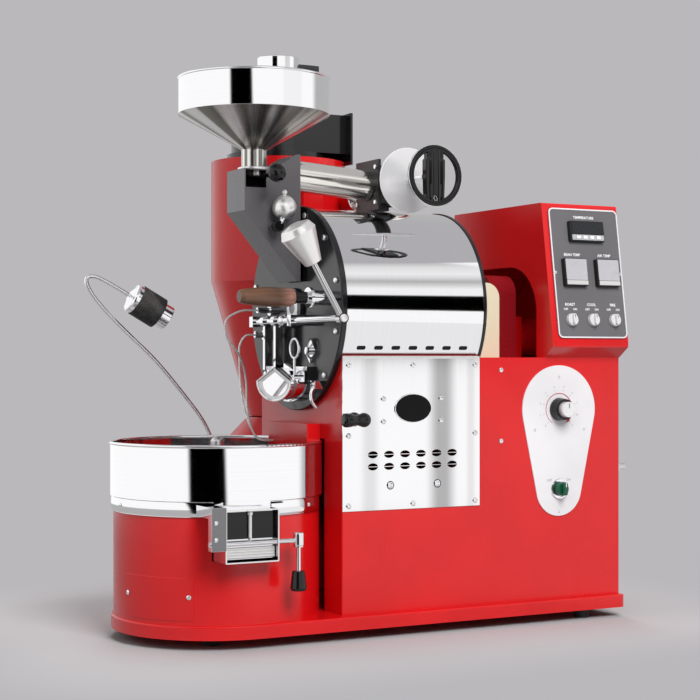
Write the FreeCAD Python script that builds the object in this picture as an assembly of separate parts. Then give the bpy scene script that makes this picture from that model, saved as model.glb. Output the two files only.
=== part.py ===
import FreeCAD, Part
import math
import os

# Small gas coffee roaster. Millimetres. X runs from the cooling pan (front, -X) to the control
# box (rear, +X), Z is up, the feet stand on Z = 0, and the near side with the controls is -Y.

V = FreeCAD.Vector
PARTS = {}

# ---------------------------------------------------------------- driving dimensions
DRUM_Y = -100.0            # the pan, drum, chute and hopper share this centre line
FOOT_HEIGHT = 17.0
BASE_HEIGHT = 22.0
BASE_HALF_WIDTH = 172.0
SHEET = 1.5                # sheet-metal thickness of the covers
GAP = 0.2                  # assembly gap between neighbouring pieces

CABINET_FRONT = -124.0
CABINET_REAR = 427.0
CABINET_HALF_WIDTH = 153.0
CABINET_TOP = 453.0

PAN_X = -276.0
PAN_RADIUS = 174.0
PAN_RIM_Z = 318.0
PAN_BAND_Z = 231.0
PAN_RING_Z = 206.6
PAN_RING_RADIUS = 171.0
PAN_BASE_RADIUS = 168.3

DRUM_Z = 536.0
HOUSING_RADIUS = 168.0
HOUSING_REAR = 136.0
PLATE_RADIUS = 172.0
PLATE_THICKNESS = 10.0
DRUM_RADIUS = 146.0
DRUM_FRONT = -118.0
DRUM_REAR = 122.0
SHAFT_RADIUS = 10.0

HOPPER_X = -209.0
HOPPER_RADIUS = 126.0
HOPPER_RIM_Z = 916.0
HOPPER_BAND_Z = 855.0
HOPPER_CONE_Z = 797.0
THROAT_RADIUS = 21.0

CHUTE_FRONT = -242.0
CHUTE_HALF_WIDTH = 35.5
CHUTE_TOP = 763.0
GATE_PLATE_Z = 750.0

DAMPER_X = 24.0
DAMPER_Z = 748.0
DUCT_RADIUS = 26.0

CYCLONE_X = -13.0
CYCLONE_Y = 218.0
CYCLONE_RADIUS = 126.0
CYCLONE_TOP = 819.0
CYCLONE_CONE_Z = 596.0
CYCLONE_NECK_Z = 344.0
CYCLONE_NECK_RADIUS = 55.0
BIN_RADIUS = 118.0
FAN_TOP = 905.0
MOTOR_TOP = 1018.0

BOX_FRONT = 267.6          # control box
BOX_TOP = 719.5
BOX_LIP_Y = -279.0
BOX_LIP_Z = 480.5
BOX_TOP_NEAR_Y = -243.4
BOX_FAR_Y = 40.0
ARCH_HALF_WIDTH = 131.0
ARCH_TOP = 614.0

DOOR_SHAFT_X = -157.0
DOOR_SHAFT_Z = 514.5
GATE_SHAFT_Y = -297.0
GATE_SHAFT_Z = 169.5
TRYER_Y = -228.0
TRYER_Z = 549.0
RUNNING_GAP = 0.05         # radial clearance of a shaft in its hole

BASE_TOP = FOOT_HEIGHT + BASE_HEIGHT
CABINET_NEAR = DRUM_Y - CABINET_HALF_WIDTH
CABINET_FAR = DRUM_Y + CABINET_HALF_WIDTH
PLATE_FRONT = CABINET_FRONT - PLATE_THICKNESS


# ---------------------------------------------------------------- shape helpers
def add(name, *shapes):
    """Keep one sub-part; several shapes stay separate solids of the same node."""
    solids = []
    for shape in shapes:
        solids += shape.Solids
    PARTS[name] = solids[0] if len(solids) == 1 else Part.makeCompound(solids)


def box(x0, x1, y0, y1, z0, z1):
    return Part.makeBox(x1 - x0, y1 - y0, z1 - z0, V(x0, y0, z0))


def rod(start, end, radius, end_radius=None):
    """A round bar, or a cone when a second radius is given, from point to point."""
    start, end = V(*start), V(*end)
    along = end - start
    if end_radius is None or abs(end_radius - radius) < 1e-6:
        return Part.makeCylinder(radius, along.Length, start, along)
    return Part.makeCone(radius, end_radius, along.Length, start, along)


def tube(start, end, outer, inner):
    return rod(start, end, outer).cut(rod(start, end, inner))


def polygon_face(points):
    return Part.Face(Part.makePolygon([V(*p) for p in points] + [V(*points[0])]))


def prism_xz(points, y0, y1):
    return polygon_face([(x, y0, z) for x, z in points]).extrude(V(0, y1 - y0, 0))


def prism_yz(points, x0, x1):
    return polygon_face([(x0, y, z) for y, z in points]).extrude(V(x1 - x0, 0, 0))


def turned_z(profile, x, y):
    """Turn a closed (radius, height) outline about the upright axis through x, y."""
    face = polygon_face([(x + r, y, z) for r, z in profile])
    return face.revolve(V(x, y, 0), V(0, 0, 1), 360)


def edges_along(shape, axis, keep=lambda middle: True):
    """The straight edges parallel to an axis whose middle point passes a test."""
    found = []
    for edge in shape.Edges:
        if isinstance(edge.Curve, Part.Line) and edge.Length > 1.0:
            direction = edge.tangentAt(edge.FirstParameter)
            if abs(abs(direction.dot(axis)) - 1) < 1e-4 and keep(edge.CenterOfMass):
                found.append(edge)
    return found


def rounded_box(x0, x1, y0, y1, z0, z1, radius, axis):
    """A box whose four edges along one axis are rounded."""
    block = box(x0, x1, y0, y1, z0, z1)
    return block.makeFillet(radius, edges_along(block, axis))


def ellipse_prism_y(x, z, half_x, half_z, y0, y1):
    """An elliptic bar along Y."""
    disc = Part.makeCylinder(1.0, y1 - y0, V(0, 0, 0), V(0, 1, 0))
    matrix = FreeCAD.Matrix()
    matrix.scale(half_x, 1.0, half_z)
    disc = disc.transformGeometry(matrix)
    disc.translate(V(x, y0, z))
    return disc


def screw(point, direction, radius=3.6, height=2.2):
    """A low pan-head screw head standing on a surface."""
    head = rod(point, V(*point) + V(*direction) * height, radius)
    rim = [e for e in head.Edges if isinstance(e.Curve, Part.Circle)
           and (e.CenterOfMass - V(*point)).Length > height * 0.5]
    return head.makeFillet(height * 0.6, rim)


def bent_tube(points, radius, bend=0.45):
    """A round bar along straight runs that tangent arcs join.

    Each arc's radius is bend times the shorter run over the tangent of half the turn.
    """
    points = [V(*p) for p in points]
    edges, start, radii = [], points[0], []
    for before, corner, after in zip(points, points[1:], points[2:]):
        a, b = (before - corner), (after - corner)
        reach = bend * min(a.Length, b.Length)
        a.normalize()
        b.normalize()
        first, last = corner + a * reach, corner + b * reach
        half_turn = (math.pi - a.getAngle(b)) / 2
        arc_radius = reach / math.tan(half_turn)
        radii.append(arc_radius)
        inward = (a + b).normalize()
        middle = corner + inward * (arc_radius / math.cos(half_turn) - arc_radius)
        if (first - start).Length > 1e-4:
            edges.append(Part.LineSegment(start, first).toShape())
        edges.append(Part.Arc(first, middle, last).toShape())
        start = last
    edges.append(Part.LineSegment(start, points[-1]).toShape())
    path = Part.Wire(edges)
    along = points[1] - points[0]
    section = Part.Wire([Part.Circle(points[0], along, radius).toShape()])
    swept = Part.Wire(path.Edges).makePipeShell([section], True, True)
    print("bent tube, length %.0f, smallest bend %.0f, volume over section times length %.3f"
          % (path.Length, min(radii), swept.Volume / (path.Length * math.pi * radius ** 2)))
    return swept


def sphere(centre, radius):
    return Part.makeSphere(radius, V(*centre))


# ---------------------------------------------------------------- base and cabinet
def base_outline(half, rear, corner, z):
    """Half-round nose round the pan's centre, straight sides, two rear corners."""
    near, far = DRUM_Y - half, DRUM_Y + half
    slant = corner * (1 - math.sqrt(0.5))
    line = lambda a, b: Part.LineSegment(V(*a), V(*b)).toShape()
    return Part.Face(Part.Wire([
        Part.Arc(V(PAN_X, far, z), V(PAN_X - half, DRUM_Y, z), V(PAN_X, near, z)).toShape(),
        line((PAN_X, near, z), (rear - corner, near, z)),
        Part.Arc(V(rear - corner, near, z), V(rear - slant, near + slant, z),
                 V(rear, near + corner, z)).toShape(),
        line((rear, near + corner, z), (rear, far - corner, z)),
        Part.Arc(V(rear, far - corner, z), V(rear - slant, far - slant, z),
                 V(rear - corner, far, z)).toShape(),
        line((rear - corner, far, z), (PAN_X, far, z))]))


def make_base():
    wall = 3.0
    corner = 10.0
    outer = base_outline(BASE_HALF_WIDTH, CABINET_REAR, corner, FOOT_HEIGHT)
    plate = outer.extrude(V(0, 0, BASE_HEIGHT))
    top_edges = [e for e in plate.Edges if abs(e.BoundBox.ZMin - BASE_TOP) < 1e-3]
    plate = plate.makeFillet(3.0, top_edges)
    hollow = base_outline(BASE_HALF_WIDTH - wall, CABINET_REAR - wall, corner - wall,
                          FOOT_HEIGHT - 1).extrude(V(0, 0, BASE_HEIGHT + 1 - wall))
    add("base_plate", plate.cut(hollow))

    foot_places = [(355, DRUM_Y - 140), (355, DRUM_Y + 140), (PAN_X - 50, DRUM_Y - 95),
                   (PAN_X - 50, DRUM_Y + 95)]
    feet = []
    for x, y in foot_places:
        foot = rod((x, y, 0), (x, y, FOOT_HEIGHT), 12.5, 16.5)
        feet.append(foot.fuse(rod((x, y, FOOT_HEIGHT), (x, y, BASE_TOP - wall), 8)))
    add("rubber_feet", *feet)


SIDE_PLATE = dict(x0=CABINET_FRONT, x1=135.5, z0=205.5, z1=454.5)
LEVER_X, LEVER_Z = -108.0, 354.0
LEVER_SHAFT = 5.0
TEARDROP_X, TEARDROP_Z, TEARDROP_RADIUS = 297.0, 364.0, 75.5
SELECTOR_Z, SELECTOR_RADIUS = 227.0, 46.5
KNOB_SHAFT = 3.0


def make_cabinet():
    near, far = CABINET_NEAR, CABINET_FAR
    shell = box(CABINET_FRONT, CABINET_REAR, near, far, BASE_TOP, CABINET_TOP)
    shell = shell.makeFillet(2.5, edges_along(shell, V(0, 0, 1)))
    shell = shell.cut(box(CABINET_FRONT + SHEET, CABINET_REAR - SHEET, near + SHEET, far - SHEET,
                          BASE_TOP - 1, CABINET_TOP - SHEET))
    clearance = HOUSING_RADIUS + 1.8
    shell = shell.cut(rod((CABINET_FRONT - 2, DRUM_Y, DRUM_Z), (HOUSING_REAR + 6, DRUM_Y, DRUM_Z),
                          clearance))
    # the pan stands partly inside the front wall
    shell = shell.cut(rod((PAN_X, DRUM_Y, BASE_TOP - 1), (PAN_X, DRUM_Y, PAN_RIM_Z + 2), PAN_RADIUS + 3))
    # service opening behind the side plate
    shell = shell.cut(box(-100, 115, near - 1, near + SHEET + 1, 228, 436))
    shell = shell.cut(rod((LEVER_X, near - 1, LEVER_Z), (LEVER_X, near + 3, LEVER_Z), LEVER_SHAFT + 1))
    for z in (TEARDROP_Z, SELECTOR_Z):
        shell = shell.cut(rod((TEARDROP_X, near - 1, z), (TEARDROP_X, near + 3, z), 12))
    # cooling louvres low in the rear wall
    for row in range(6):
        z = 110 + 22 * row
        shell = shell.cut(box(CABINET_REAR - 3, CABINET_REAR + 1, DRUM_Y - 60, DRUM_Y + 60, z, z + 6))
    shell = shell.cut(rod((CABINET_REAR - 3, -235, 260), (CABINET_REAR + 1, -235, 260), 6.2))
    add("cabinet_shell", shell)


def make_side_plate():
    p = SIDE_PLATE
    face = CABINET_NEAR - SHEET
    plate = box(p["x0"], p["x1"], face, CABINET_NEAR, p["z0"], p["z1"])
    bean_pitch = 30.0
    for row_z in (276.0, 295.5):
        for column in range(6):
            x = -68.5 + bean_pitch * column
            bean = ellipse_prism_y(x, row_z, 9.3, 5.8, face - 1, CABINET_NEAR + 1)
            bean = bean.cut(box(x - 10, x + 10, face - 2, CABINET_NEAR + 2, row_z - 0.5, row_z + 0.5))
            plate = plate.cut(bean)
    for x in (-36.0, 53.0):
        plate = plate.cut(rod((x, face - 1, 245), (x, CABINET_NEAR + 1, 245), 7))
    plate = plate.cut(rod((LEVER_X, face - 1, LEVER_Z), (LEVER_X, face + 3, LEVER_Z),
                          LEVER_SHAFT + RUNNING_GAP))
    add("side_plate", plate)

    heads = [(x, z) for x in (-113, 6.5, 126.6) for z in (214, 327, 441) if (x, z) != (6.5, 327)]
    heads += [(x, z) for x in (-49, 60) for z in (349, 386)]
    screws = [screw((x, face, z), (0, -1, 0)) for x, z in heads]
    screws += [screw((179, CABINET_NEAR, z), (0, -1, 0)) for z in (312, 432)]
    plate_face = CABINET_NEAR - 2.0
    for x, z in ((297, 419.4), (246.7, 329), (349, 329), (297, 188.5)):
        screws.append(screw((x, plate_face, z), (0, -1, 0), 2.4, 1.2))
    add("cover_screws", *screws)


def make_airflow_lever():
    y = -271.0
    shaft = rod((LEVER_X, CABINET_NEAR + 12, LEVER_Z), (LEVER_X, y, LEVER_Z), LEVER_SHAFT)
    grip = rod((LEVER_X - 14, y, LEVER_Z), (-90, y, LEVER_Z), 11, 12).fuse(
        sphere((-90, y, LEVER_Z), 12))
    crank = box(LEVER_X, LEVER_X + 20, CABINET_NEAR + 6, CABINET_NEAR + 12, LEVER_Z - 4, LEVER_Z + 4)
    add("airflow_lever", shaft.fuse([grip, crank]))


def make_teardrop():
    back, front = CABINET_NEAR, CABINET_NEAR - 2.0
    drop = TEARDROP_Z - SELECTOR_Z
    lean = math.asin((TEARDROP_RADIUS - SELECTOR_RADIUS) / drop)
    cos, sin = math.cos(lean), math.sin(lean)
    wide, slim = TEARDROP_RADIUS, SELECTOR_RADIUS
    web = prism_xz([(TEARDROP_X - wide * cos, TEARDROP_Z - wide * sin),
                    (TEARDROP_X + wide * cos, TEARDROP_Z - wide * sin),
                    (TEARDROP_X + slim * cos, SELECTOR_Z - slim * sin),
                    (TEARDROP_X - slim * cos, SELECTOR_Z - slim * sin)], front, back)
    plate = web.fuse([rod((TEARDROP_X, front, TEARDROP_Z), (TEARDROP_X, back, TEARDROP_Z), wide),
                      rod((TEARDROP_X, front, SELECTOR_Z), (TEARDROP_X, back, SELECTOR_Z), slim)])
    plate = plate.removeSplitter()
    for z in (TEARDROP_Z, SELECTOR_Z):
        plate = plate.cut(rod((TEARDROP_X, front - 1, z), (TEARDROP_X, back + 1, z),
                              KNOB_SHAFT + RUNNING_GAP))
    add("teardrop_plate", plate)

    knob = rod((TEARDROP_X, front - 0.5, TEARDROP_Z), (TEARDROP_X, front - 18, TEARDROP_Z), 20, 18)
    for step in range(24):
        angle = math.radians(15 * step)
        x, z = TEARDROP_X + 20.6 * math.cos(angle), TEARDROP_Z + 20.6 * math.sin(angle)
        knob = knob.cut(rod((x, front, z), (x, front - 20, z), 1.6))
    cap = rod((TEARDROP_X, front - 18, TEARDROP_Z), (TEARDROP_X, front - 30, TEARDROP_Z), 12.6)
    stem = rod((TEARDROP_X, back + 14, TEARDROP_Z), (TEARDROP_X, front - 0.5, TEARDROP_Z), KNOB_SHAFT)
    add("gas_knob", knob.fuse([cap, stem]))

    bezel = rod((TEARDROP_X, front - 0.5, SELECTOR_Z), (TEARDROP_X, front - 4, SELECTOR_Z), 14.5, 13.5)
    grip = rod((TEARDROP_X, front - 4, SELECTOR_Z), (TEARDROP_X, front - 12, SELECTOR_Z), 11)
    bar = rounded_box(TEARDROP_X - 5, TEARDROP_X + 5, front - 22, front - 12, SELECTOR_Z - 11,
                      SELECTOR_Z + 15, 2, V(0, 1, 0))
    stem = rod((TEARDROP_X, back + 14, SELECTOR_Z), (TEARDROP_X, front - 0.5, SELECTOR_Z), KNOB_SHAFT)
    add("green_selector", bezel.fuse([grip, bar, stem]))


def make_terminal_box():
    front = CABINET_FRONT - 24
    half, low, high = 75.0, 276.0, 344.0
    cover = box(front, CABINET_FRONT - GAP, DRUM_Y - half, DRUM_Y + half, low, high)
    cover = cover.makeFillet(2.0, edges_along(cover, V(0, 0, 1), lambda c: c.x < front + 1))
    cover = cover.cut(box(front + SHEET, CABINET_FRONT, DRUM_Y - half + SHEET, DRUM_Y + half - SHEET,
                          low + SHEET, high - SHEET))
    for y in LEAD_GLANDS:
        cover = cover.cut(rod((front - 1, y, LEAD_END_Z), (front + 3, y, LEAD_END_Z), LEAD_RADIUS + GAP))
    add("front_terminal_box", cover)


# ---------------------------------------------------------------- cooling pan
FLOOR_TOP = PAN_BAND_Z + 2.0
GATE_X0, GATE_X1 = -348.0, -260.0
GATE_Z0, GATE_Z1 = 140.0, 221.0
GATE_FRONT = -302.0
CHEEK = 1.5


def make_pan():
    wall = 1.2
    bead = 2.7
    band = turned_z([(PAN_RADIUS - wall, PAN_BAND_Z), (PAN_RADIUS, PAN_BAND_Z),
                     (PAN_RADIUS, PAN_RIM_Z - bead), (PAN_RADIUS - wall, PAN_RIM_Z - bead)],
                    PAN_X, DRUM_Y)
    rim = Part.makeTorus(PAN_RADIUS - 1.2, bead, V(PAN_X, DRUM_Y, PAN_RIM_Z - bead), V(0, 0, 1))
    add("cooling_pan", band.fuse(rim))

    floor = rod((PAN_X, DRUM_Y, PAN_BAND_Z + 0.4), (PAN_X, DRUM_Y, FLOOR_TOP),
                PAN_RADIUS - wall - GAP)
    holes = []
    for ring in range(1, 7):
        radius = 22.0 + 21.0 * ring
        count = 8 * ring + 4
        for step in range(count):
            angle = 2 * math.pi * (step + 0.5 * (ring % 2)) / count
            x, y = PAN_X + radius * math.cos(angle), DRUM_Y + radius * math.sin(angle)
            over_gate = GATE_X0 - 6 < x < GATE_X1 + 6 and y < -228
            if not over_gate:
                holes.append(rod((x, y, PAN_BAND_Z - 1), (x, y, FLOOR_TOP + 1), 2.6))
    floor = floor.cut(Part.makeCompound(holes))
    floor = floor.cut(gate_mouth(0.0, PAN_BAND_Z - 1, FLOOR_TOP + 1))
    floor = floor.cut(rod((PAN_X, DRUM_Y, PAN_BAND_Z - 1), (PAN_X, DRUM_Y, FLOOR_TOP + 1),
                          STIR_SHAFT + RUNNING_GAP))
    add("pan_floor", floor)


def gate_passage():
    """The space that the beans fall through, from the pan floor to the flap."""
    return box(GATE_X0 + CHEEK, GATE_X1 - CHEEK, GATE_FRONT - 1, -230, GATE_Z0 + CHEEK, GATE_Z1 - CHEEK)


def gate_mouth(margin, z0, z1):
    """The slot in the pan floor, straight on three sides and round along the pan's edge."""
    slot = box(GATE_X0 + 8 - margin, GATE_X1 - 8 + margin, -300, -248 + margin, z0, z1)
    return slot.common(rod((PAN_X, DRUM_Y, z0 - 1), (PAN_X, DRUM_Y, z1 + 1), 164 + margin))


def make_pan_ring():
    ring = tube((PAN_X, DRUM_Y, PAN_RING_Z), (PAN_X, DRUM_Y, PAN_BAND_Z - GAP), PAN_RING_RADIUS,
                PAN_RING_RADIUS - SHEET)
    housing = box(GATE_X0, GATE_X1, GATE_FRONT, -226, GATE_Z0, GATE_Z1)
    neck = gate_mouth(CHEEK, GATE_Z1 - CHEEK, PAN_BAND_Z)
    # bearing strap for the free end of the gate shaft
    strap = box(GATE_X0 - 24, GATE_X0, -304, -290, 160, 226)
    strap = strap.fuse(box(GATE_X0 - 24, GATE_X0, -290, -240, 209, 226))
    chamber = housing.fuse([neck, strap])
    ring = ring.cut(chamber)
    shaft = rod((GATE_X0 - 30, GATE_SHAFT_Y, GATE_SHAFT_Z), (GATE_X1 + 5, GATE_SHAFT_Y, GATE_SHAFT_Z),
                GATE_SHAFT_RADIUS + RUNNING_GAP)
    chamber = chamber.cut(gate_passage())
    chamber = chamber.cut(gate_mouth(0.0, GATE_Z1 - 3, PAN_BAND_Z + 1))
    ring = ring.cut(gate_mouth(0.0, GATE_Z1 - 3, PAN_BAND_Z + 1))
    add("pan_ring", ring, chamber.cut(shaft))


GATE_SHAFT_RADIUS = 4.0


def make_gate_flap():
    plate = box(GATE_X0 + CHEEK + 1, GATE_X1 - CHEEK - 1, -292.5, -291, GATE_Z0 + 5, GATE_Z1 - 3)
    shaft = rod((GATE_X0 - 26, GATE_SHAFT_Y, GATE_SHAFT_Z), (-216, GATE_SHAFT_Y, GATE_SHAFT_Z),
                GATE_SHAFT_RADIUS)
    web = box(GATE_X0 + 8, GATE_X1 - 8, GATE_SHAFT_Y, -292, GATE_SHAFT_Z - 2, GATE_SHAFT_Z + 2)
    stay_x = (GATE_X0 + GATE_X1) / 2
    stay = rod((stay_x, -293.5, GATE_SHAFT_Z), (stay_x, -293.5, GATE_Z1 - 4), 2.5)
    lever_x = -223.5
    socket = rod((lever_x, GATE_SHAFT_Y, GATE_SHAFT_Z + 12), (lever_x, GATE_SHAFT_Y, GATE_SHAFT_Z - 10), 8)
    lever = rod((lever_x, GATE_SHAFT_Y, GATE_SHAFT_Z - 10), (lever_x, GATE_SHAFT_Y, 118), 3.4)
    grip = rod((lever_x, GATE_SHAFT_Y, 122), (lever_x, GATE_SHAFT_Y, 92), 9.5, 12.2)
    grip = grip.makeFillet(2.0, [e for e in grip.Edges if abs(e.BoundBox.ZMax - 92) < 0.1])
    add("gate_flap", plate.fuse([shaft, web, stay, socket, lever]), grip.cut(
        rod((lever_x, GATE_SHAFT_Y, 124), (lever_x, GATE_SHAFT_Y, 117.9), 3.4)))


def make_pan_base():
    wall = 2.0
    shell = tube((PAN_X, DRUM_Y, BASE_TOP), (PAN_X, DRUM_Y, PAN_RING_Z - GAP), PAN_BASE_RADIUS,
                 PAN_BASE_RADIUS - wall)
    shell = shell.cut(box(GATE_X0 - 1.5, GATE_X1 + 1.5, -310, -200, GATE_Z0 - 1.5, PAN_BAND_Z))
    add("pan_base", shell)


STIR_SHAFT = 7.0


def make_pan_inside():
    hub = rod((PAN_X, DRUM_Y, FLOOR_TOP + 2), (PAN_X, DRUM_Y, 316), 15, 11)
    cap = sphere((PAN_X, DRUM_Y, 313), 10.5)
    stirrer = hub.fuse([cap, rod((PAN_X, DRUM_Y, 205), (PAN_X, DRUM_Y, FLOOR_TOP + 2), STIR_SHAFT)])
    for turn in (0, 120, 240):
        arm = box(0, 158, -4, 4, 262, 268)
        blades = []
        for reach in (58, 100, 142):
            blade = box(-14, 14, -1.25, 1.25, FLOOR_TOP + 2, 263)
            blade.rotate(V(0, 0, 0), V(0, 0, 1), 35)
            blade.translate(V(reach, 0, 0))
            blades.append(blade)
        arm = arm.fuse(blades)
        arm.rotate(V(0, 0, 0), V(0, 0, 1), turn + 20)
        arm.translate(V(PAN_X, DRUM_Y, 0))
        stirrer = stirrer.fuse(arm)
    add("stirrer", stirrer)

    gearbox = tube((PAN_X, DRUM_Y, 160), (PAN_X, DRUM_Y, PAN_BAND_Z + 0.2), 30, STIR_SHAFT + 0.3)
    gearbox = gearbox.fuse(rod((PAN_X, DRUM_Y, 150), (PAN_X, DRUM_Y, 160), 30))
    stir_arm = box(PAN_X + 20, PAN_X + PAN_BASE_RADIUS - 3.2, DRUM_Y - 12, DRUM_Y + 12, 168, 176)
    fan_motor = rod((PAN_X, DRUM_Y, BASE_TOP), (PAN_X, DRUM_Y, 96), 38)
    add("cooling_motors", gearbox.fuse(stir_arm), fan_motor)

    hub = tube((PAN_X, DRUM_Y, 100), (PAN_X, DRUM_Y, 136), 22, 8)
    shaft = rod((PAN_X, DRUM_Y, 96.5), (PAN_X, DRUM_Y, 136), 8)
    rotor = hub.fuse(shaft)
    plate = tube((PAN_X, DRUM_Y, 100), (PAN_X, DRUM_Y, 102), 120, 8)
    rotor = rotor.fuse(plate)
    vanes = []
    for step in range(10):
        vane = box(40, 118, -1, 1, 102, 134)
        vane.rotate(V(79, 0, 0), V(0, 0, 1), 25)
        vane.rotate(V(0, 0, 0), V(0, 0, 1), 36 * step)
        vane.translate(V(PAN_X, DRUM_Y, 0))
        vanes.append(vane)
    add("cooling_impeller", rotor.fuse(vanes))


# ---------------------------------------------------------------- drum group
def make_drum_housing():
    skin = tube((CABINET_FRONT, DRUM_Y, DRUM_Z), (HOUSING_REAR, DRUM_Y, DRUM_Z), HOUSING_RADIUS,
                HOUSING_RADIUS - SHEET)
    for slot in range(7):
        x = -90 + 32.2 * slot
        hole = rounded_box(x - 8.2, x + 8.2, -270, -235, 465.5, 472, 3.0, V(0, 1, 0))
        skin = skin.cut(hole)
    add("drum_housing", skin)

    lining = tube((CABINET_FRONT + GAP, DRUM_Y, DRUM_Z), (HOUSING_REAR - GAP, DRUM_Y, DRUM_Z),
                  HOUSING_RADIUS - SHEET - GAP, 153)
    lining = lining.cut(box(CABINET_FRONT - 1, HOUSING_REAR + 1, DRUM_Y - 95, DRUM_Y + 95, 360, 440))
    add("drum_insulation", lining)

    rear = rod((HOUSING_REAR + GAP, DRUM_Y, DRUM_Z), (HOUSING_REAR + 4.8, DRUM_Y, DRUM_Z),
               HOUSING_RADIUS + 1.5)
    rear = rear.cut(rod((HOUSING_REAR, DRUM_Y, DRUM_Z), (HOUSING_REAR + 6, DRUM_Y, DRUM_Z), 26.2))
    add("rear_plate", rear)


def door_outline(x0, x1, half, drop, top):
    """Bowl-shaped plate: a flat top, a half-ellipse bottom, sides at half width."""
    y, z = DOOR_Y, DOOR_TOP
    bowl = Part.makeCylinder(1.0, x1 - x0, V(0, 0, 0), V(1, 0, 0))
    matrix = FreeCAD.Matrix()
    matrix.scale(1.0, half, drop)
    bowl = bowl.transformGeometry(matrix)
    bowl.translate(V(x0, y, z))
    bowl = bowl.cut(box(x0 - 1, x1 + 1, y - half - 1, y + half + 1, z, z + drop + 1))
    return bowl.fuse(box(x0, x1, y - half, y + half, z, z + top)).removeSplitter()


DOOR_Y = -94.0
DOOR_TOP = 412.0
DOOR_HALF = 70.0
BOWL_Y = -105.0
BOWL_TOP = 413.0
BOWL_FRONT = -176.0


def bowl_outline(x0, x1, share):
    """The door's bowl in section: a half ellipse below, two slopes to a ridge above."""
    half, drop, rise = 67.5 * share, 33.0 * share, 24.0 * share
    lower = Part.makeCylinder(1.0, x1 - x0, V(0, 0, 0), V(1, 0, 0))
    matrix = FreeCAD.Matrix()
    matrix.scale(1.0, half, drop)
    lower = lower.transformGeometry(matrix)
    lower.translate(V(x0, BOWL_Y, BOWL_TOP))
    lower = lower.cut(box(x0 - 1, x1 + 1, BOWL_Y - 80, BOWL_Y + 80, BOWL_TOP, BOWL_TOP + 80))
    ridge = prism_yz([(BOWL_Y - half, BOWL_TOP), (BOWL_Y + half, BOWL_TOP), (BOWL_Y, BOWL_TOP + rise)],
                     x0, x1)
    return lower.fuse(ridge).removeSplitter()
FRONT_HOLE_RADIUS = 141.0


def discharge_opening(x0, x1):
    """The hole low in the front plate, bounded by the drum's inside."""
    disc = rod((x0, DRUM_Y, DRUM_Z), (x1, DRUM_Y, DRUM_Z), FRONT_HOLE_RADIUS)
    return disc.common(box(x0 - 1, x1 + 1, DOOR_Y - 50, DOOR_Y + 50, 380, 432))


def make_front_plate():
    plate = rod((PLATE_FRONT, DRUM_Y, DRUM_Z), (CABINET_FRONT - GAP, DRUM_Y, DRUM_Z), PLATE_RADIUS)
    rim = [e for e in plate.Edges if isinstance(e.Curve, Part.Circle)
           and abs(e.CenterOfMass.x - PLATE_FRONT) < 0.1]
    plate = plate.makeFillet(2.5, rim)
    boss = rod((PLATE_FRONT - 6, DRUM_Y, DRUM_Z), (PLATE_FRONT + 1, DRUM_Y, DRUM_Z), 34)
    plate = plate.fuse(boss)
    plate = plate.cut(rod((PLATE_FRONT - 7, DRUM_Y, DRUM_Z), (CABINET_FRONT, DRUM_Y, DRUM_Z), 22.2))
    plate = plate.cut(discharge_opening(PLATE_FRONT - 1, CABINET_FRONT + 1))
    inner = CHUTE_HALF_WIDTH - 4
    plate = plate.cut(box(PLATE_FRONT - 1, CABINET_FRONT + 1, DRUM_Y - inner, DRUM_Y + inner, 586, 672))
    plate = plate.cut(rod((PLATE_FRONT - 1, TRYER_Y, TRYER_Z), (CABINET_FRONT + 1, TRYER_Y, TRYER_Z),
                          SLEEVE_RADIUS + GAP))
    for _, y, z in PROBE_FITTINGS:
        plate = plate.cut(rod((PLATE_FRONT - 1, y, z), (CABINET_FRONT + 1, y, z), 4.2))
    add("front_plate", plate)

    bolts = []
    for step in range(12):
        if step in (8, 9):          # these places are under the discharge frame
            continue
        angle = math.radians(30 * step + 15)
        y, z = DRUM_Y + 158 * math.cos(angle), DRUM_Z + 158 * math.sin(angle)
        bolts.append(screw((PLATE_FRONT, y, z), (-1, 0, 0), 5.0, 4.0))
    # two-bolt diamond flange and its centre plug
    flange_y, flange_z, front = -166.0, 464.0, PLATE_FRONT
    diamond = prism_yz([(flange_y - 19, flange_z), (flange_y, flange_z - 22), (flange_y + 19, flange_z),
                        (flange_y, flange_z + 22)], front - 4, front)
    diamond = diamond.makeFillet(3.0, edges_along(diamond, V(1, 0, 0)))
    plug = rod((front - 11, flange_y, flange_z), (front - 4, flange_y, flange_z), 6.5)
    bolts.append(diamond.fuse(plug))
    # lugs that carry the toggle latch
    lug = box(front - 14, front, LATCH_Y - 9, LATCH_Y + 9, LATCH_Z - 6, LATCH_Z + 7)
    lug = lug.cut(box(front - 15, front - 4, LATCH_Y - 5, LATCH_Y + 5, LATCH_Z - 7, LATCH_Z + 8))
    lug = lug.cut(rod((front - 9, LATCH_Y - 10, LATCH_Z), (front - 9, LATCH_Y + 10, LATCH_Z),
                      2.0 + RUNNING_GAP))
    bolts.append(lug)
    # bushing of the sampling scoop
    sleeve = tube((-168, TRYER_Y, TRYER_Z), (CABINET_FRONT - GAP, TRYER_Y, TRYER_Z), SLEEVE_RADIUS,
                  SCOOP_RADIUS + RUNNING_GAP)
    washer = tube((-173, TRYER_Y, TRYER_Z), (-168, TRYER_Y, TRYER_Z), 16.5, SCOOP_RADIUS + RUNNING_GAP)
    bolts.append(sleeve.fuse(washer))
    for x, y, z in PROBE_FITTINGS:
        sheath = rod((CABINET_FRONT + 14, y, z), (PLATE_FRONT, y, z), 4.0)
        nut = rod((PLATE_FRONT, y, z), (PLATE_FRONT - 9, y, z), 9.0)
        neck = rod((PLATE_FRONT - 9, y, z), (x, y, z), 5.0)
        bolts.append(sheath.fuse([nut, neck]))
    add("front_plate_fittings", *bolts)


LATCH_Y, LATCH_Z = -196.0, 408.0


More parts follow.
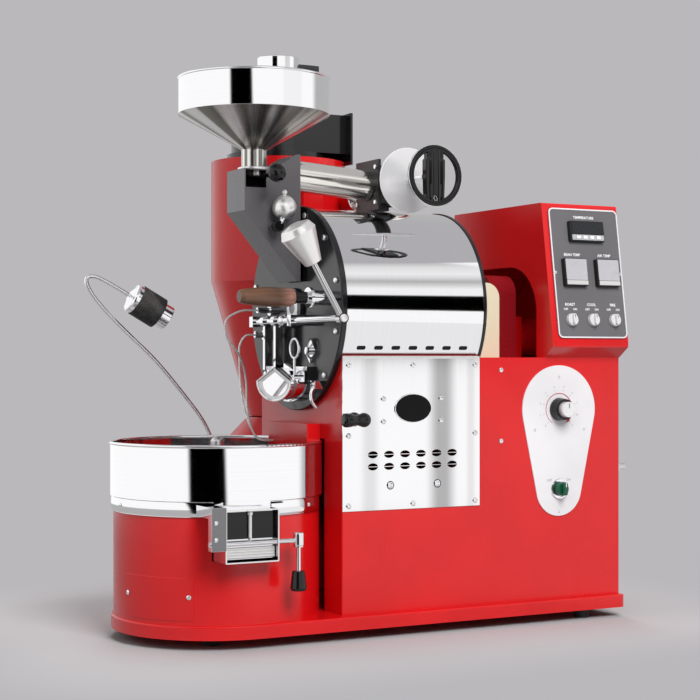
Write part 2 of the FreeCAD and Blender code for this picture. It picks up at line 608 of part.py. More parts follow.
def make_latch():
    x = PLATE_FRONT - 9
    pin = rod((x, LATCH_Y - 9, LATCH_Z), (x, LATCH_Y + 9, LATCH_Z), 2.0)
    eye = rod((x, LATCH_Y - 4, LATCH_Z), (x, LATCH_Y + 4, LATCH_Z), 4.4)
    lever = bent_tube([(x, LATCH_Y, LATCH_Z), (x - 9, LATCH_Y, LATCH_Z - 12),
                       (x - 9, LATCH_Y - 4, LATCH_Z - 27), (x, LATCH_Y - 4, LATCH_Z - 36)], 3.0)
    add("latch_lever", pin.fuse([eye, lever]))


def make_drum():
    inner = DRUM_RADIUS - 2
    shell = tube((DRUM_FRONT, DRUM_Y, DRUM_Z), (DRUM_REAR, DRUM_Y, DRUM_Z), DRUM_RADIUS, inner)
    inside = rod((DRUM_FRONT, DRUM_Y, DRUM_Z), (DRUM_REAR - 3, DRUM_Y, DRUM_Z), inner)
    back = tube((DRUM_REAR - 3, DRUM_Y, DRUM_Z), (DRUM_REAR, DRUM_Y, DRUM_Z), inner, SHAFT_RADIUS)
    vanes = []
    for step in range(6):
        vane = box(-50, DRUM_REAR, -1, 1, inner - 24, inner + 1)
        vane.rotate(V(36, 0, inner), V(0, 0, 1), 8)
        vane.rotate(V(0, 0, 0), V(1, 0, 0), 60 * step + 30)
        vane.translate(V(0, DRUM_Y, DRUM_Z))
        vanes.append(vane.common(inside))
    spokes = []
    for step in range(3):
        spoke = box(-66, -58, -4, 4, SHAFT_RADIUS - 2, inner + 1)
        spoke.rotate(V(0, 0, 0), V(1, 0, 0), 120 * step + 90)
        spoke.translate(V(0, DRUM_Y, DRUM_Z))
        spokes.append(spoke.common(inside))
    shaft = rod((PLATE_FRONT - 4, DRUM_Y, DRUM_Z), (240, DRUM_Y, DRUM_Z), SHAFT_RADIUS)
    hub = rod((-68, DRUM_Y, DRUM_Z), (-56, DRUM_Y, DRUM_Z), 20)
    sprocket = sprocket_disc(228, DRUM_Z, 24).cut(shaft)
    add("drum", shell, back, shaft.fuse(spokes + [hub]), sprocket, *vanes)


CHAIN_PITCH = 6.35
MOTOR_Z = 490.0


def sprocket_radius(teeth):
    return CHAIN_PITCH / (2 * math.sin(math.pi / teeth))


def sprocket_disc(x, z, teeth):
    """A toothed disc 5 mm thick whose gullets seat the chain rollers."""
    radius = sprocket_radius(teeth)
    disc = rod((x, DRUM_Y, z), (x + 5, DRUM_Y, z), radius + 1.2)
    gullets = []
    for step in range(teeth):
        angle = 2 * math.pi * step / teeth
        y, gz = DRUM_Y + radius * math.cos(angle), z + radius * math.sin(angle)
        gullets.append(rod((x - 1, y, gz), (x + 6, y, gz), 1.7))
    return disc.cut(Part.makeCompound(gullets))


def make_drive():
    motor = rod((300, DRUM_Y, MOTOR_Z), (392, DRUM_Y, MOTOR_Z), 34)
    gearbox = box(BOX_FRONT + 2, 300, DRUM_Y - 36, DRUM_Y + 36, CABINET_TOP, MOTOR_Z + 36)
    gearbox = gearbox.cut(rod((BOX_FRONT, DRUM_Y, MOTOR_Z), (290, DRUM_Y, MOTOR_Z), 6 + RUNNING_GAP))
    # the chamber of the last reduction wheel, which sits on the same stem as the sprocket
    gearbox = gearbox.cut(rod((275, DRUM_Y, MOTOR_Z), (294, DRUM_Y, MOTOR_Z), 32))
    add("drum_motor", gearbox.fuse(motor))

    stem = rod((224, DRUM_Y, MOTOR_Z), (288, DRUM_Y, MOTOR_Z), 6)
    wheel = rod((276.5, DRUM_Y, MOTOR_Z), (292.5, DRUM_Y, MOTOR_Z), 30)
    add("motor_sprocket", sprocket_disc(228, MOTOR_Z, 12).fuse([stem, wheel]))

    # the chain as one closed band round both sprockets
    big, small = sprocket_radius(24), sprocket_radius(12)
    inner, outer = 1.9, 3.2
    def loop(extra):
        lean = math.asin((big - small) / (DRUM_Z - MOTOR_Z))
        cos, sin = math.cos(lean), math.sin(lean)
        b, s = big + extra, small + extra
        web = prism_yz([(DRUM_Y - b * cos, DRUM_Z - b * sin), (DRUM_Y + b * cos, DRUM_Z - b * sin),
                        (DRUM_Y + s * cos, MOTOR_Z - s * sin), (DRUM_Y - s * cos, MOTOR_Z - s * sin)],
                       228.5, 232.5)
        return web.fuse([rod((228.5, DRUM_Y, DRUM_Z), (232.5, DRUM_Y, DRUM_Z), b),
                         rod((228.5, DRUM_Y, MOTOR_Z), (232.5, DRUM_Y, MOTOR_Z), s)])
    add("drive_chain", loop(outer).cut(loop(inner)))

    front = tube((PLATE_FRONT - 5, DRUM_Y, DRUM_Z), (CABINET_FRONT - GAP, DRUM_Y, DRUM_Z), 22,
                 SHAFT_RADIUS + RUNNING_GAP)
    block = tube((HOUSING_REAR + GAP, DRUM_Y, DRUM_Z), (HOUSING_REAR + 34, DRUM_Y, DRUM_Z), 26,
                 SHAFT_RADIUS + RUNNING_GAP)
    stand = box(HOUSING_REAR + 10, HOUSING_REAR + 30, DRUM_Y - 30, DRUM_Y + 30, CABINET_TOP, DRUM_Z)
    stand = stand.cut(rod((HOUSING_REAR, DRUM_Y, DRUM_Z), (HOUSING_REAR + 40, DRUM_Y, DRUM_Z), 25))
    add("shaft_bearings", front, block.fuse(stand))


CASING_REAR = 217.0
CASING_TOP = 582.0


def make_rear_covers():
    x0 = HOUSING_REAR + 5.0
    y0, y1 = DRUM_Y - 90, DRUM_Y + 90
    casing = box(x0, CASING_REAR, y0, y1, CABINET_TOP, CASING_TOP)
    casing = casing.makeFillet(26, edges_along(casing, V(0, 1, 0), lambda c: c.x > CASING_REAR - 1
                                              and c.z > CASING_TOP - 1))
    hollow = box(x0 - 1, CASING_REAR - 2, y0 + 2, y1 - 2, CABINET_TOP - 1, CASING_TOP - 2)
    hollow = hollow.makeFillet(24, edges_along(hollow, V(0, 1, 0), lambda c: c.x > CASING_REAR - 3
                                              and c.z > CASING_TOP - 3))
    casing = casing.cut(hollow)
    casing = casing.cut(rod((CASING_REAR - 3, DRUM_Y, DRUM_Z), (CASING_REAR + 1, DRUM_Y, DRUM_Z), 12))
    add("rear_casing", casing)

    half, top, corner = 66.0, 598.0, 34.0
    cover = rounded_box(CASING_REAR + GAP, BOX_FRONT - GAP, DRUM_Y - half, DRUM_Y + half,
                        CABINET_TOP - corner, top, corner, V(1, 0, 0))
    hollow = rounded_box(CASING_REAR + 2, BOX_FRONT + 1, DRUM_Y - half + 1.5, DRUM_Y + half - 1.5,
                         CABINET_TOP - corner - 2, top - 1.5, corner - 1.5, V(1, 0, 0))
    cover = cover.cut(hollow)
    cover = cover.cut(box(CASING_REAR - 1, BOX_FRONT + 2, DRUM_Y - 80, DRUM_Y + 80, 400, CABINET_TOP))
    cover = cover.cut(rod((CASING_REAR, DRUM_Y, DRUM_Z), (CASING_REAR + 3, DRUM_Y, DRUM_Z), 12))
    add("gear_cover", cover)


def make_burner():
    pieces = []
    for y in (-155, -100, -45):
        bar = tube((-98, y, 344), (108, y, 344), 9, 7.5)
        bar = bar.fuse(rod((-100, y, 344), (-98, y, 344), 9))
        ports = [rod((x, y, 346), (x, y, 356), 1.5) for x in range(-90, 100, 14)]
        pieces.append(bar.cut(Part.makeCompound(ports)))
    manifold = box(108, 120, -170, -30, 334, 354)
    stand_front = box(-90, -84, CABINET_NEAR + 1.7, CABINET_FAR - 1.7, 331, 335)
    stand_rear = box(84, 90, CABINET_NEAR + 1.7, CABINET_FAR - 1.7, 331, 335)
    supply = bent_tube([(114, -160, 334), (114, -160, 262), (180, -235, 260),
                        (CABINET_REAR - 9, -235, 260)], 5.0, 0.3)
    add("gas_burner", pieces[0].fuse(pieces[1:] + [manifold, stand_front, stand_rear, supply]))

    nut = rod((CABINET_REAR, -235, 260), (CABINET_REAR + 8, -235, 260), 10)
    barb = rod((CABINET_REAR + 8, -235, 260), (451.5, -235, 260), 5.0)
    thread = rod((CABINET_REAR - 9, -235, 260), (CABINET_REAR, -235, 260), 6.0)
    add("gas_inlet", thread.fuse([nut, barb]))


# ---------------------------------------------------------------- front plate mechanisms
SLEEVE_RADIUS = 12.0
SCOOP_RADIUS = 7.5


def make_tryer():
    neck, tip = DRUM_FRONT - 8, DRUM_FRONT - 1
    scoop = rod((-178, TRYER_Y, TRYER_Z), (neck, TRYER_Y, TRYER_Z), SCOOP_RADIUS)
    scoop = scoop.fuse(rod((neck, TRYER_Y, TRYER_Z), (tip, TRYER_Y, TRYER_Z), SCOOP_RADIUS, 5))
    scoop = scoop.cut(box(-144, neck + 3, TRYER_Y - 5.5, TRYER_Y + 5.5, TRYER_Z - 4, TRYER_Z + 10))
    add("tryer_scoop", scoop)

    def turned_x(profile):
        face = polygon_face([(x, TRYER_Y, TRYER_Z + r) for x, r in profile])
        return face.revolve(V(0, TRYER_Y, TRYER_Z), V(1, 0, 0), 360)
    ferrule = rod((-199, TRYER_Y, TRYER_Z), (-178, TRYER_Y, TRYER_Z), 10.5)
    wood = turned_x([(-294, 0), (-294, 9), (-292, 11.5), (-281, 12.6), (-260, 14.8), (-238, 16.0),
                     (-219, 15.2), (-209, 15.5), (-202, 13.5), (-199, 11), (-199, 0)])
    add("tryer_handle", wood, ferrule)


def make_discharge_door():
    frame = door_outline(PLATE_FRONT - 10, PLATE_FRONT, DOOR_HALF + 2, 33, 26)
    frame = frame.cut(door_outline(PLATE_FRONT - 11, PLATE_FRONT + 1, DOOR_HALF - 6, 26, 20))
    blocks = []
    for y in (8, -142):
        ear = box(DOOR_SHAFT_X - 8, PLATE_FRONT, y - 7, y + 7, DOOR_SHAFT_Z - 9, DOOR_SHAFT_Z + 9)
        blocks.append(ear.cut(rod((DOOR_SHAFT_X, y - 9, DOOR_SHAFT_Z), (DOOR_SHAFT_X, y + 9, DOOR_SHAFT_Z),
                                  5 + RUNNING_GAP)))
    add("discharge_frame", frame, *blocks)

    x1, x0 = PLATE_FRONT - 10.4, PLATE_FRONT - 13.4
    door = door_outline(x0, x1, DOOR_HALF, 31, 20)
    gable = prism_yz([(DOOR_Y - 44, DOOR_TOP + 19), (DOOR_Y + 44, DOOR_TOP + 19), (DOOR_Y, DOOR_TOP + 32)],
                     x0 - 5, x1)
    bowl = bowl_outline(BOWL_FRONT + 5, x0 + 0.5, 0.92).fuse(bowl_outline(BOWL_FRONT, BOWL_FRONT + 5, 1.0))
    bowl = bowl.cut(bowl_outline(BOWL_FRONT - 1, BOWL_FRONT + 3, 0.92))
    pieces = [gable, bowl]
    for y in (-34, -76):
        pieces.append(box(x0 - 5, x0 + 1, y - 4, y + 4, DOOR_TOP + 6, DOOR_TOP + 26))
        pieces.append(box(DOOR_SHAFT_X - 3, x0 + 1, y - 4, y + 4, DOOR_TOP + 20, DOOR_SHAFT_Z))
        pieces.append(rod((DOOR_SHAFT_X, y - 7, DOOR_SHAFT_Z), (DOOR_SHAFT_X, y + 7, DOOR_SHAFT_Z), 9))
    ring_x, ring_y, ring_z = x0 - 6, -140.0, 468.0
    loop = Part.makeTorus(16, 2.2, V(ring_x, ring_y, ring_z), V(1, 0, 0))
    stem = rod((ring_x, ring_y, DOOR_TOP + 8), (ring_x, ring_y, ring_z - 15), 2.4)
    foot = box(ring_x - 3, x0 + 1, ring_y - 4, ring_y + 4, DOOR_TOP + 2, DOOR_TOP + 12)
    shaft = rod((DOOR_SHAFT_X, 15, DOOR_SHAFT_Z), (DOOR_SHAFT_X, -320, DOOR_SHAFT_Z), 5)
    knuckle = sphere((DOOR_SHAFT_X, -102, DOOR_SHAFT_Z), 9)
    lean = math.radians(30.3)
    along = V(-math.sin(lean), 0, math.cos(lean))
    root = V(DOOR_SHAFT_X, WEIGHT_Y, DOOR_SHAFT_Z)
    lever = rod(root, root + along * 104, 4.6)
    hub = rod(root + V(0, -7, 0), root + V(0, 7, 0), 8.5)
    add("discharge_door", door.fuse(pieces + [loop, stem, foot, shaft, knuckle, lever, hub]))

    face = Part.Face(Part.makePolygon([V(0, 0, 0), V(14, 0, 0), V(29, 0, 52), V(24, 0, 63), V(10, 0, 68),
                                       V(0, 0, 68), V(0, 0, 0)]))
    weight = face.revolve(V(0, 0, 0), V(0, 0, 1), 360)
    weight.rotate(V(0, 0, 0), V(0, 1, 0), -math.degrees(lean))
    weight.translate(root + along * 98)
    weight = weight.cut(rod(root + along * 90, root + along * 104, 4.6))
    add("door_weight", weight)


WEIGHT_Y = -315.0
PROBE_FITTINGS = [(-166.0, -19.0, 534.0), (-160.0, 4.0, 492.0)]
LEAD_RADIUS = 1.8
LEAD_GLANDS = (-34.0, -46.0)
LEAD_END_Z = 312.0


def make_probes():
    (x_a, y_a, z_a), (x_b, y_b, z_b) = PROBE_FITTINGS
    box_front = CABINET_FRONT - 24
    lead_a = bent_tube([(x_a, y_a, z_a), (-196, y_a, z_a), (-228, y_a, 518), (-224, y_a - 1, 484),
                        (-202, y_a - 1, 462), (-182, 0, 436), (-176, 2, 404), (-180, -6, 368),
                        (-182, -26, 338), (-174, -34, LEAD_END_Z), (box_front + 6, -34, LEAD_END_Z)],
                       LEAD_RADIUS)
    lead_b = bent_tube([(x_b, y_b, z_b), (-178, y_b, z_b), (-188, 8, 474), (-186, 10, 448),
                        (-186, 8, 414), (-190, -12, 376), (-190, -36, 342), (-178, -46, LEAD_END_Z),
                        (box_front + 6, -46, LEAD_END_Z)], LEAD_RADIUS)
    add("probe_leads", lead_a, lead_b)


# ---------------------------------------------------------------- feed chute and hopper
def make_chute():
    wall = 2.0
    near, far = DRUM_Y - CHUTE_HALF_WIDTH, DRUM_Y + CHUTE_HALF_WIDTH
    back = PLATE_FRONT - 6.4
    outline = [(CHUTE_FRONT, CHUTE_TOP), (-190, CHUTE_TOP), (-146, 790), (back, 790), (back, 580),
               (-148, 580), (CHUTE_FRONT, 694)]
    inside = [(CHUTE_FRONT + wall, CHUTE_TOP - wall), (-190.5, CHUTE_TOP - wall), (-146.5, 788),
              (back - wall, 788), (back - wall, 676), (back + 1, 676), (back + 1, 582.5),
              (-147, 582.5), (CHUTE_FRONT + wall, 695)]
    # one bent strip between two flat cheeks
    strip = prism_xz(outline, near + wall, far - wall).cut(prism_xz(inside, near + wall, far - wall))
    strip = strip.cut(rod((HOPPER_X, DRUM_Y, CHUTE_TOP - 4), (HOPPER_X, DRUM_Y, CHUTE_TOP + 20),
                          THROAT_RADIUS + GAP))
    strip = strip.cut(rod((HOPPER_X, DRUM_Y, CHUTE_TOP), (HOPPER_X, DRUM_Y, CHUTE_TOP + 20),
                          THROAT_RADIUS + 6 + GAP))
    strip = strip.cut(rod((back - 4, DRUM_Y, DUCT_START_Z), (back + 1, DRUM_Y, DUCT_START_Z),
                          DUCT_RADIUS + GAP))
    near_cheek = prism_xz(outline, near, near + wall)
    far_cheek = prism_xz(outline, far - wall, far)
    # slot of the feed gate and the open notch round it
    near_cheek = near_cheek.cut(box(CHUTE_FRONT + 9, -183, near - 1, near + wall, GATE_PLATE_Z - 1,
                                    GATE_PLATE_Z + 3))
    near_cheek = near_cheek.cut(box(CHUTE_FRONT + wall, -203, near - 1, near + wall, 732,
                                    CHUTE_TOP - wall))
    near_cheek = near_cheek.fuse(rod((-192, near, 668), (-192, near - 14, 668), 8.0))
    add("feed_chute", strip, near_cheek, far_cheek)

    plate = box(CHUTE_FRONT + 10, -184, near + wall + 0.5, far - wall - 1, GATE_PLATE_Z, GATE_PLATE_Z + 2)
    stem = rod((HOPPER_X, near + wall + 1, GATE_PLATE_Z + 1), (HOPPER_X, -180, GATE_PLATE_Z + 1), 4.0)
    notch_side = stem.fuse(plate)
    ball = sphere((HOPPER_X, -189, GATE_PLATE_Z + 1), 15)
    add("feed_gate", notch_side.fuse(ball))

    wall = 1.2
    bead = 2.2
    hopper = turned_z([(HOPPER_RADIUS, HOPPER_RIM_Z - bead), (HOPPER_RADIUS, HOPPER_BAND_Z),
                       (THROAT_RADIUS, HOPPER_CONE_Z), (THROAT_RADIUS, GATE_PLATE_Z + 2.4),
                       (THROAT_RADIUS - wall, GATE_PLATE_Z + 2.4), (THROAT_RADIUS - wall, HOPPER_CONE_Z),
                       (HOPPER_RADIUS - wall, HOPPER_BAND_Z + wall * 0.6),
                       (HOPPER_RADIUS - wall, HOPPER_RIM_Z - bead)], HOPPER_X, DRUM_Y)
    rim = Part.makeTorus(HOPPER_RADIUS - 0.6, bead, V(HOPPER_X, DRUM_Y, HOPPER_RIM_Z - bead), V(0, 0, 1))
    collar = tube((HOPPER_X, DRUM_Y, CHUTE_TOP + 0.1), (HOPPER_X, DRUM_Y, CHUTE_TOP + 5),
                  THROAT_RADIUS + 6, THROAT_RADIUS - 0.2)
    add("hopper", hopper.fuse([rim, collar]))

    egg = [(0, 680), (9, 681), (15.5, 686), (19, 692), (20, 699), (18.4, 707), (14, 714.5), (7, 719),
           (3, 719.5), (3, 721), (0, 721)]
    lamp = turned_z(egg, LAMP_EYE[0], LAMP_EYE[1]).fuse(sphere((LAMP_EYE[0], LAMP_EYE[1], 724), 4.6))
    lamp = lamp.fuse(rod((-192, near - 14, 668), (-192, near - 26, 668), 9.5))
    lamp = lamp.fuse(rod((-189, near - 21, 670), (LAMP_EYE[0], LAMP_EYE[1], 684), 5.0))
    add("sight_lamp", lamp)


LAMP_EYE = (-180.0, -157.0)
DUCT_START_Z = 759.0


# ---------------------------------------------------------------- exhaust and cyclone
BODY_X0, BODY_X1 = 5.0, 46.0
INLET_X = CYCLONE_X + CYCLONE_RADIUS - DUCT_RADIUS - 1.0
DIAL_Y = -208.0
WHEEL_Y = -295.0


def make_exhaust():
    start, end = (PLATE_FRONT - 8.2, DRUM_Y, DUCT_START_Z), (BODY_X0, DRUM_Y, DAMPER_Z)
    inner = DUCT_RADIUS - SHEET
    front_tube = rod(start, (BODY_X0 + 6, DRUM_Y, DAMPER_Z - 0.5), DUCT_RADIUS).cut(
        rod((PLATE_FRONT - 30, DRUM_Y, DUCT_START_Z + 1.7), (BODY_X0 + 12, DRUM_Y, DAMPER_Z - 1), inner))
    front_tube = front_tube.cut(box(end[0], end[0] + 40, DRUM_Y - 60, DRUM_Y + 60, 680, 820))
    # elbow from the damper to the cyclone inlet
    bend = INLET_X - BODY_X1 - 5
    path = Part.Wire([
        Part.LineSegment(V(BODY_X1, DRUM_Y, DAMPER_Z), V(BODY_X1 + 5, DRUM_Y, DAMPER_Z)).toShape(),
        Part.Arc(V(BODY_X1 + 5, DRUM_Y, DAMPER_Z),
                 V(BODY_X1 + 5 + bend * math.sin(math.pi / 4), DRUM_Y + bend * (1 - math.cos(math.pi / 4)),
                   DAMPER_Z), V(INLET_X, DRUM_Y + bend, DAMPER_Z)).toShape(),
        Part.LineSegment(V(INLET_X, DRUM_Y + bend, DAMPER_Z), V(INLET_X, 60, DAMPER_Z)).toShape()])
    rings = [Part.Wire([Part.Circle(V(BODY_X1, DRUM_Y, DAMPER_Z), V(1, 0, 0), r).toShape()])
             for r in (DUCT_RADIUS, inner)]
    elbow = path.makePipeShell([rings[0]], True, True).cut(path.makePipeShell([rings[1]], True, True))
    flange = tube((INLET_X, 55, DAMPER_Z), (INLET_X, 60, DAMPER_Z), 36, inner)
    add("exhaust_duct", front_tube, elbow.fuse(flange))

    flange = box(BODY_X0, BODY_X0 + 5, DRUM_Y - 40, DRUM_Y + 40, DAMPER_Z - 43, DAMPER_Z + 43)
    body = rounded_box(BODY_X0 + 5, BODY_X1 - 5, DRUM_Y - 34, DRUM_Y + 34, DAMPER_Z - 34, DAMPER_Z + 34,
                       10, V(1, 0, 0))
    rear = box(BODY_X1 - 5, BODY_X1, DRUM_Y - 36, DRUM_Y + 36, DAMPER_Z - 36, DAMPER_Z + 36)
    saddle = box(BODY_X0 + 8, BODY_X1 - 8, DRUM_Y - 18, DRUM_Y + 18, DRUM_Z + HOUSING_RADIUS + 1.0,
                 DAMPER_Z)
    neck = rod((DAMPER_X, DRUM_Y, DAMPER_Z), (DAMPER_X, DIAL_Y, DAMPER_Z), 13)
    body = body.fuse([flange, rear, saddle, neck])
    body = body.cut(rod((BODY_X0 - 1, DRUM_Y, DAMPER_Z), (BODY_X1 + 1, DRUM_Y, DAMPER_Z), inner))
    shaft_hole = rod((DAMPER_X, DIAL_Y - 1, DAMPER_Z), (DAMPER_X, DRUM_Y + 30, DAMPER_Z), 5 + RUNNING_GAP)
    add("damper_body", body.cut(shaft_hole))

    dial = rod((DAMPER_X, DIAL_Y, DAMPER_Z), (DAMPER_X, DIAL_Y - 3, DAMPER_Z), 55)
    dial = dial.makeFillet(1.0, [e for e in dial.Edges if isinstance(e.Curve, Part.Circle)])
    add("damper_dial", dial.cut(rod((DAMPER_X, DIAL_Y + 1, DAMPER_Z), (DAMPER_X, DIAL_Y - 4, DAMPER_Z),
                                    5 + RUNNING_GAP)))

    rim = Part.makeTorus(45.5, 4.8, V(DAMPER_X, WHEEL_Y, DAMPER_Z), V(0, 1, 0))
    hub = rod((DAMPER_X, WHEEL_Y + 22, DAMPER_Z), (DAMPER_X, WHEEL_Y + 4, DAMPER_Z), 13)
    spoke = [(-15, 0), (-11, 44), (11, 44), (15, 0), (11, -44), (-11, -44)]
    bar = prism_xz([(DAMPER_X + x, DAMPER_Z + z) for x, z in spoke], WHEEL_Y + 1, WHEEL_Y + 10)
    bolt = rod((DAMPER_X, WHEEL_Y + 2, DAMPER_Z - 37), (DAMPER_X, WHEEL_Y - 4, DAMPER_Z - 37), 4.5)
    shaft = rod((DAMPER_X, WHEEL_Y + 22, DAMPER_Z), (DAMPER_X, DRUM_Y + 24, DAMPER_Z), 5)
    flap = rod((DAMPER_X, DRUM_Y, DAMPER_Z - 0.75), (DAMPER_X, DRUM_Y, DAMPER_Z + 0.75), inner - 1.0)
    add("damper_handwheel", rim.fuse([hub, bar, bolt, shaft, flap]))


def make_cyclone():
    outer = [(CYCLONE_RADIUS, CYCLONE_TOP), (CYCLONE_RADIUS, CYCLONE_CONE_Z),
             (CYCLONE_NECK_RADIUS, CYCLONE_NECK_Z)]
    shell = turned_z([(0, CYCLONE_TOP)] + outer + [(0, CYCLONE_NECK_Z)], CYCLONE_X, CYCLONE_Y)
    stub = rod((INLET_X, 60.2, DAMPER_Z), (INLET_X, CYCLONE_Y - 30, DAMPER_Z), DUCT_RADIUS)
    flange = rod((INLET_X, 60.2, DAMPER_Z), (INLET_X, 65, DAMPER_Z), 36)
    shell = shell.fuse([stub, flange])
    wall = SHEET
    inner = turned_z([(0, CYCLONE_TOP - wall), (CYCLONE_RADIUS - wall, CYCLONE_TOP - wall),
                      (CYCLONE_RADIUS - wall, CYCLONE_CONE_Z),
                      (CYCLONE_NECK_RADIUS - wall, CYCLONE_NECK_Z - 1), (0, CYCLONE_NECK_Z - 1)],
                     CYCLONE_X, CYCLONE_Y)
    shell = shell.cut(inner)
    shell = shell.cut(rod((INLET_X, 60, DAMPER_Z), (INLET_X, CYCLONE_Y - 20, DAMPER_Z),
                          DUCT_RADIUS - wall))
    shell = shell.cut(rod((CYCLONE_X, CYCLONE_Y, CYCLONE_TOP - 5),
                          (CYCLONE_X, CYCLONE_Y, CYCLONE_TOP + 1), 50))
    finder = tube((CYCLONE_X, CYCLONE_Y, 690), (CYCLONE_X, CYCLONE_Y, CYCLONE_TOP), 51, 49.5)
    shell = shell.fuse(finder)
    seam = tube((CYCLONE_X, CYCLONE_Y, CYCLONE_CONE_Z - 3), (CYCLONE_X, CYCLONE_Y, CYCLONE_CONE_Z + 3),
                CYCLONE_RADIUS, CYCLONE_RADIUS - 2.5)
    post = box(-33, 7, 70, 94, 70, 790)
    feet = [box(-33, 7, CABINET_FAR, 72, z, z + 40) for z in (90, 390)]
    post = post.fuse(feet).cut(rod((CYCLONE_X, CYCLONE_Y, 600), (CYCLONE_X, CYCLONE_Y, 800),
                                   CYCLONE_RADIUS))
    add("cyclone_body", shell.fuse(seam).fuse(post))

    low, shoulder = 6.0, 279.0
    bin_outer = turned_z([(0, low), (BIN_RADIUS, low), (BIN_RADIUS, shoulder),
                          (CYCLONE_NECK_RADIUS + 3, 342), (0, 342)], CYCLONE_X, CYCLONE_Y)
    bin_inner = turned_z([(0, low + 2), (BIN_RADIUS - 1.5, low + 2), (BIN_RADIUS - 1.5, shoulder),
                          (CYCLONE_NECK_RADIUS + 1, 343), (0, 343)], CYCLONE_X, CYCLONE_Y)
    shell = bin_outer.cut(bin_inner)
    feet = []
    for step in range(3):
        angle = math.radians(120 * step + 30)
        x, y = CYCLONE_X + 85 * math.cos(angle), CYCLONE_Y + 85 * math.sin(angle)
        feet.append(rod((x, y, 0), (x, y, low + 1), 14))
    reach = CYCLONE_Y + 121.5
    handle = bent_tube([(CYCLONE_X - 52, CYCLONE_Y + 104, 210), (CYCLONE_X - 52, reach, 210),
                        (CYCLONE_X + 52, reach, 210), (CYCLONE_X + 52, CYCLONE_Y + 104, 210)], 4.0, 0.4)
    band = tube((CYCLONE_X, CYCLONE_Y, 262), (CYCLONE_X, CYCLONE_Y, 270), BIN_RADIUS + 2, BIN_RADIUS - 0.5)
    add("chaff_bin", shell.fuse(feet + [handle, band]))


SCROLL_RADIUS = 88.0
FLANGE_X = 88.0
OUTLET = dict(y0=132.0, y1=198.0, z0=837.0, z1=899.0)
FAN_BOLT_ROWS = (826.0, 897.0)


def make_fan():
    base = rod((CYCLONE_X, CYCLONE_Y, CYCLONE_TOP + GAP), (CYCLONE_X, CYCLONE_Y, 833), 96)
    drum = rod((CYCLONE_X, CYCLONE_Y, 833), (CYCLONE_X, CYCLONE_Y, FAN_TOP), SCROLL_RADIUS)
    duct = box(CYCLONE_X, FLANGE_X - 4, OUTLET["y0"] - 2, OUTLET["y1"] + 2, 833, FAN_TOP)
    flange = box(FLANGE_X - 4, FLANGE_X, 108, 222, 811, 907)
    flange = flange.cut(rod((CYCLONE_X, CYCLONE_Y, 800), (CYCLONE_X, CYCLONE_Y, CYCLONE_TOP + GAP),
                            CYCLONE_RADIUS + 0.6))
    mouth = rod((CYCLONE_X, CYCLONE_Y, CYCLONE_TOP - 1), (CYCLONE_X, CYCLONE_Y, 836), 49.5)
    base = base.cut(mouth)
    scroll = drum.fuse([duct, flange]).cut(base)
    scroll = scroll.cut(rod((CYCLONE_X, CYCLONE_Y, 835), (CYCLONE_X, CYCLONE_Y, FAN_TOP - 2),
                            SCROLL_RADIUS - 2))
    scroll = scroll.cut(mouth)
    scroll = scroll.cut(box(CYCLONE_X, FLANGE_X + 1, OUTLET["y0"], OUTLET["y1"], OUTLET["z0"],
                            OUTLET["z1"]))
    scroll = scroll.cut(rod((CYCLONE_X, CYCLONE_Y, FAN_TOP - 3), (CYCLONE_X, CYCLONE_Y, FAN_TOP + 1), 9))
    for y in (119, 211):
        for z in FAN_BOLT_ROWS:
            scroll = scroll.cut(rod((FLANGE_X - 5, y, z), (FLANGE_X + 1, y, z), 3.0))
    add("fan_scroll", scroll, base)

    hub = rod((CYCLONE_X, CYCLONE_Y, 842), (CYCLONE_X, CYCLONE_Y, 884), 12)
    shaft = rod((CYCLONE_X, CYCLONE_Y, 884), (CYCLONE_X, CYCLONE_Y, FAN_TOP + 8), 6)
    disc = rod((CYCLONE_X, CYCLONE_Y, 880), (CYCLONE_X, CYCLONE_Y, 882), 66)
    vanes = []
    for step in range(8):
        vane = box(20, 65, -1, 1, 846, 881)
        vane.rotate(V(43, 0, 0), V(0, 0, 1), 30)
        vane.rotate(V(0, 0, 0), V(0, 0, 1), 45 * step)
        vane.translate(V(CYCLONE_X, CYCLONE_Y, 0))
        vanes.append(vane)
    inner = tube((CYCLONE_X, CYCLONE_Y, 846), (CYCLONE_X, CYCLONE_Y, 848), 66, 44)
    add("exhaust_impeller", hub.fuse([shaft, disc, inner] + vanes))

    motor = rod((CYCLONE_X, CYCLONE_Y, FAN_TOP + 0.2), (CYCLONE_X, CYCLONE_Y, MOTOR_TOP - 3), 40)
    cap = rod((CYCLONE_X, CYCLONE_Y, MOTOR_TOP - 3), (CYCLONE_X, CYCLONE_Y, MOTOR_TOP), 40, 37)
    terminal = rounded_box(CYCLONE_X + 30, 63, CYCLONE_Y - 24, CYCLONE_Y + 24, 925, 1006, 4, V(0, 0, 1))
    motor = motor.fuse([cap, terminal])
    add("fan_motor", motor.cut(rod((CYCLONE_X, CYCLONE_Y, FAN_TOP), (CYCLONE_X, CYCLONE_Y, FAN_TOP + 10),
                                   6 + RUNNING_GAP)))


# ---------------------------------------------------------------- control box
SLOPE = V(0, BOX_TOP_NEAR_Y - BOX_LIP_Y, BOX_TOP - BOX_LIP_Z).normalize()
OUT = V(0, -SLOPE.z, SLOPE.y)
PANEL_X0, PANEL_X1 = 279.0, 424.5
PANEL_V0, PANEL_V1 = 5.6, 233.0
PANEL_THICKNESS = 2.5


def on_panel(x, up, out=0.0):
    """A point on the slanted face: x along the box, up the slope, out of the face."""
    return V(x, BOX_LIP_Y, BOX_LIP_Z) + SLOPE * up + OUT * out


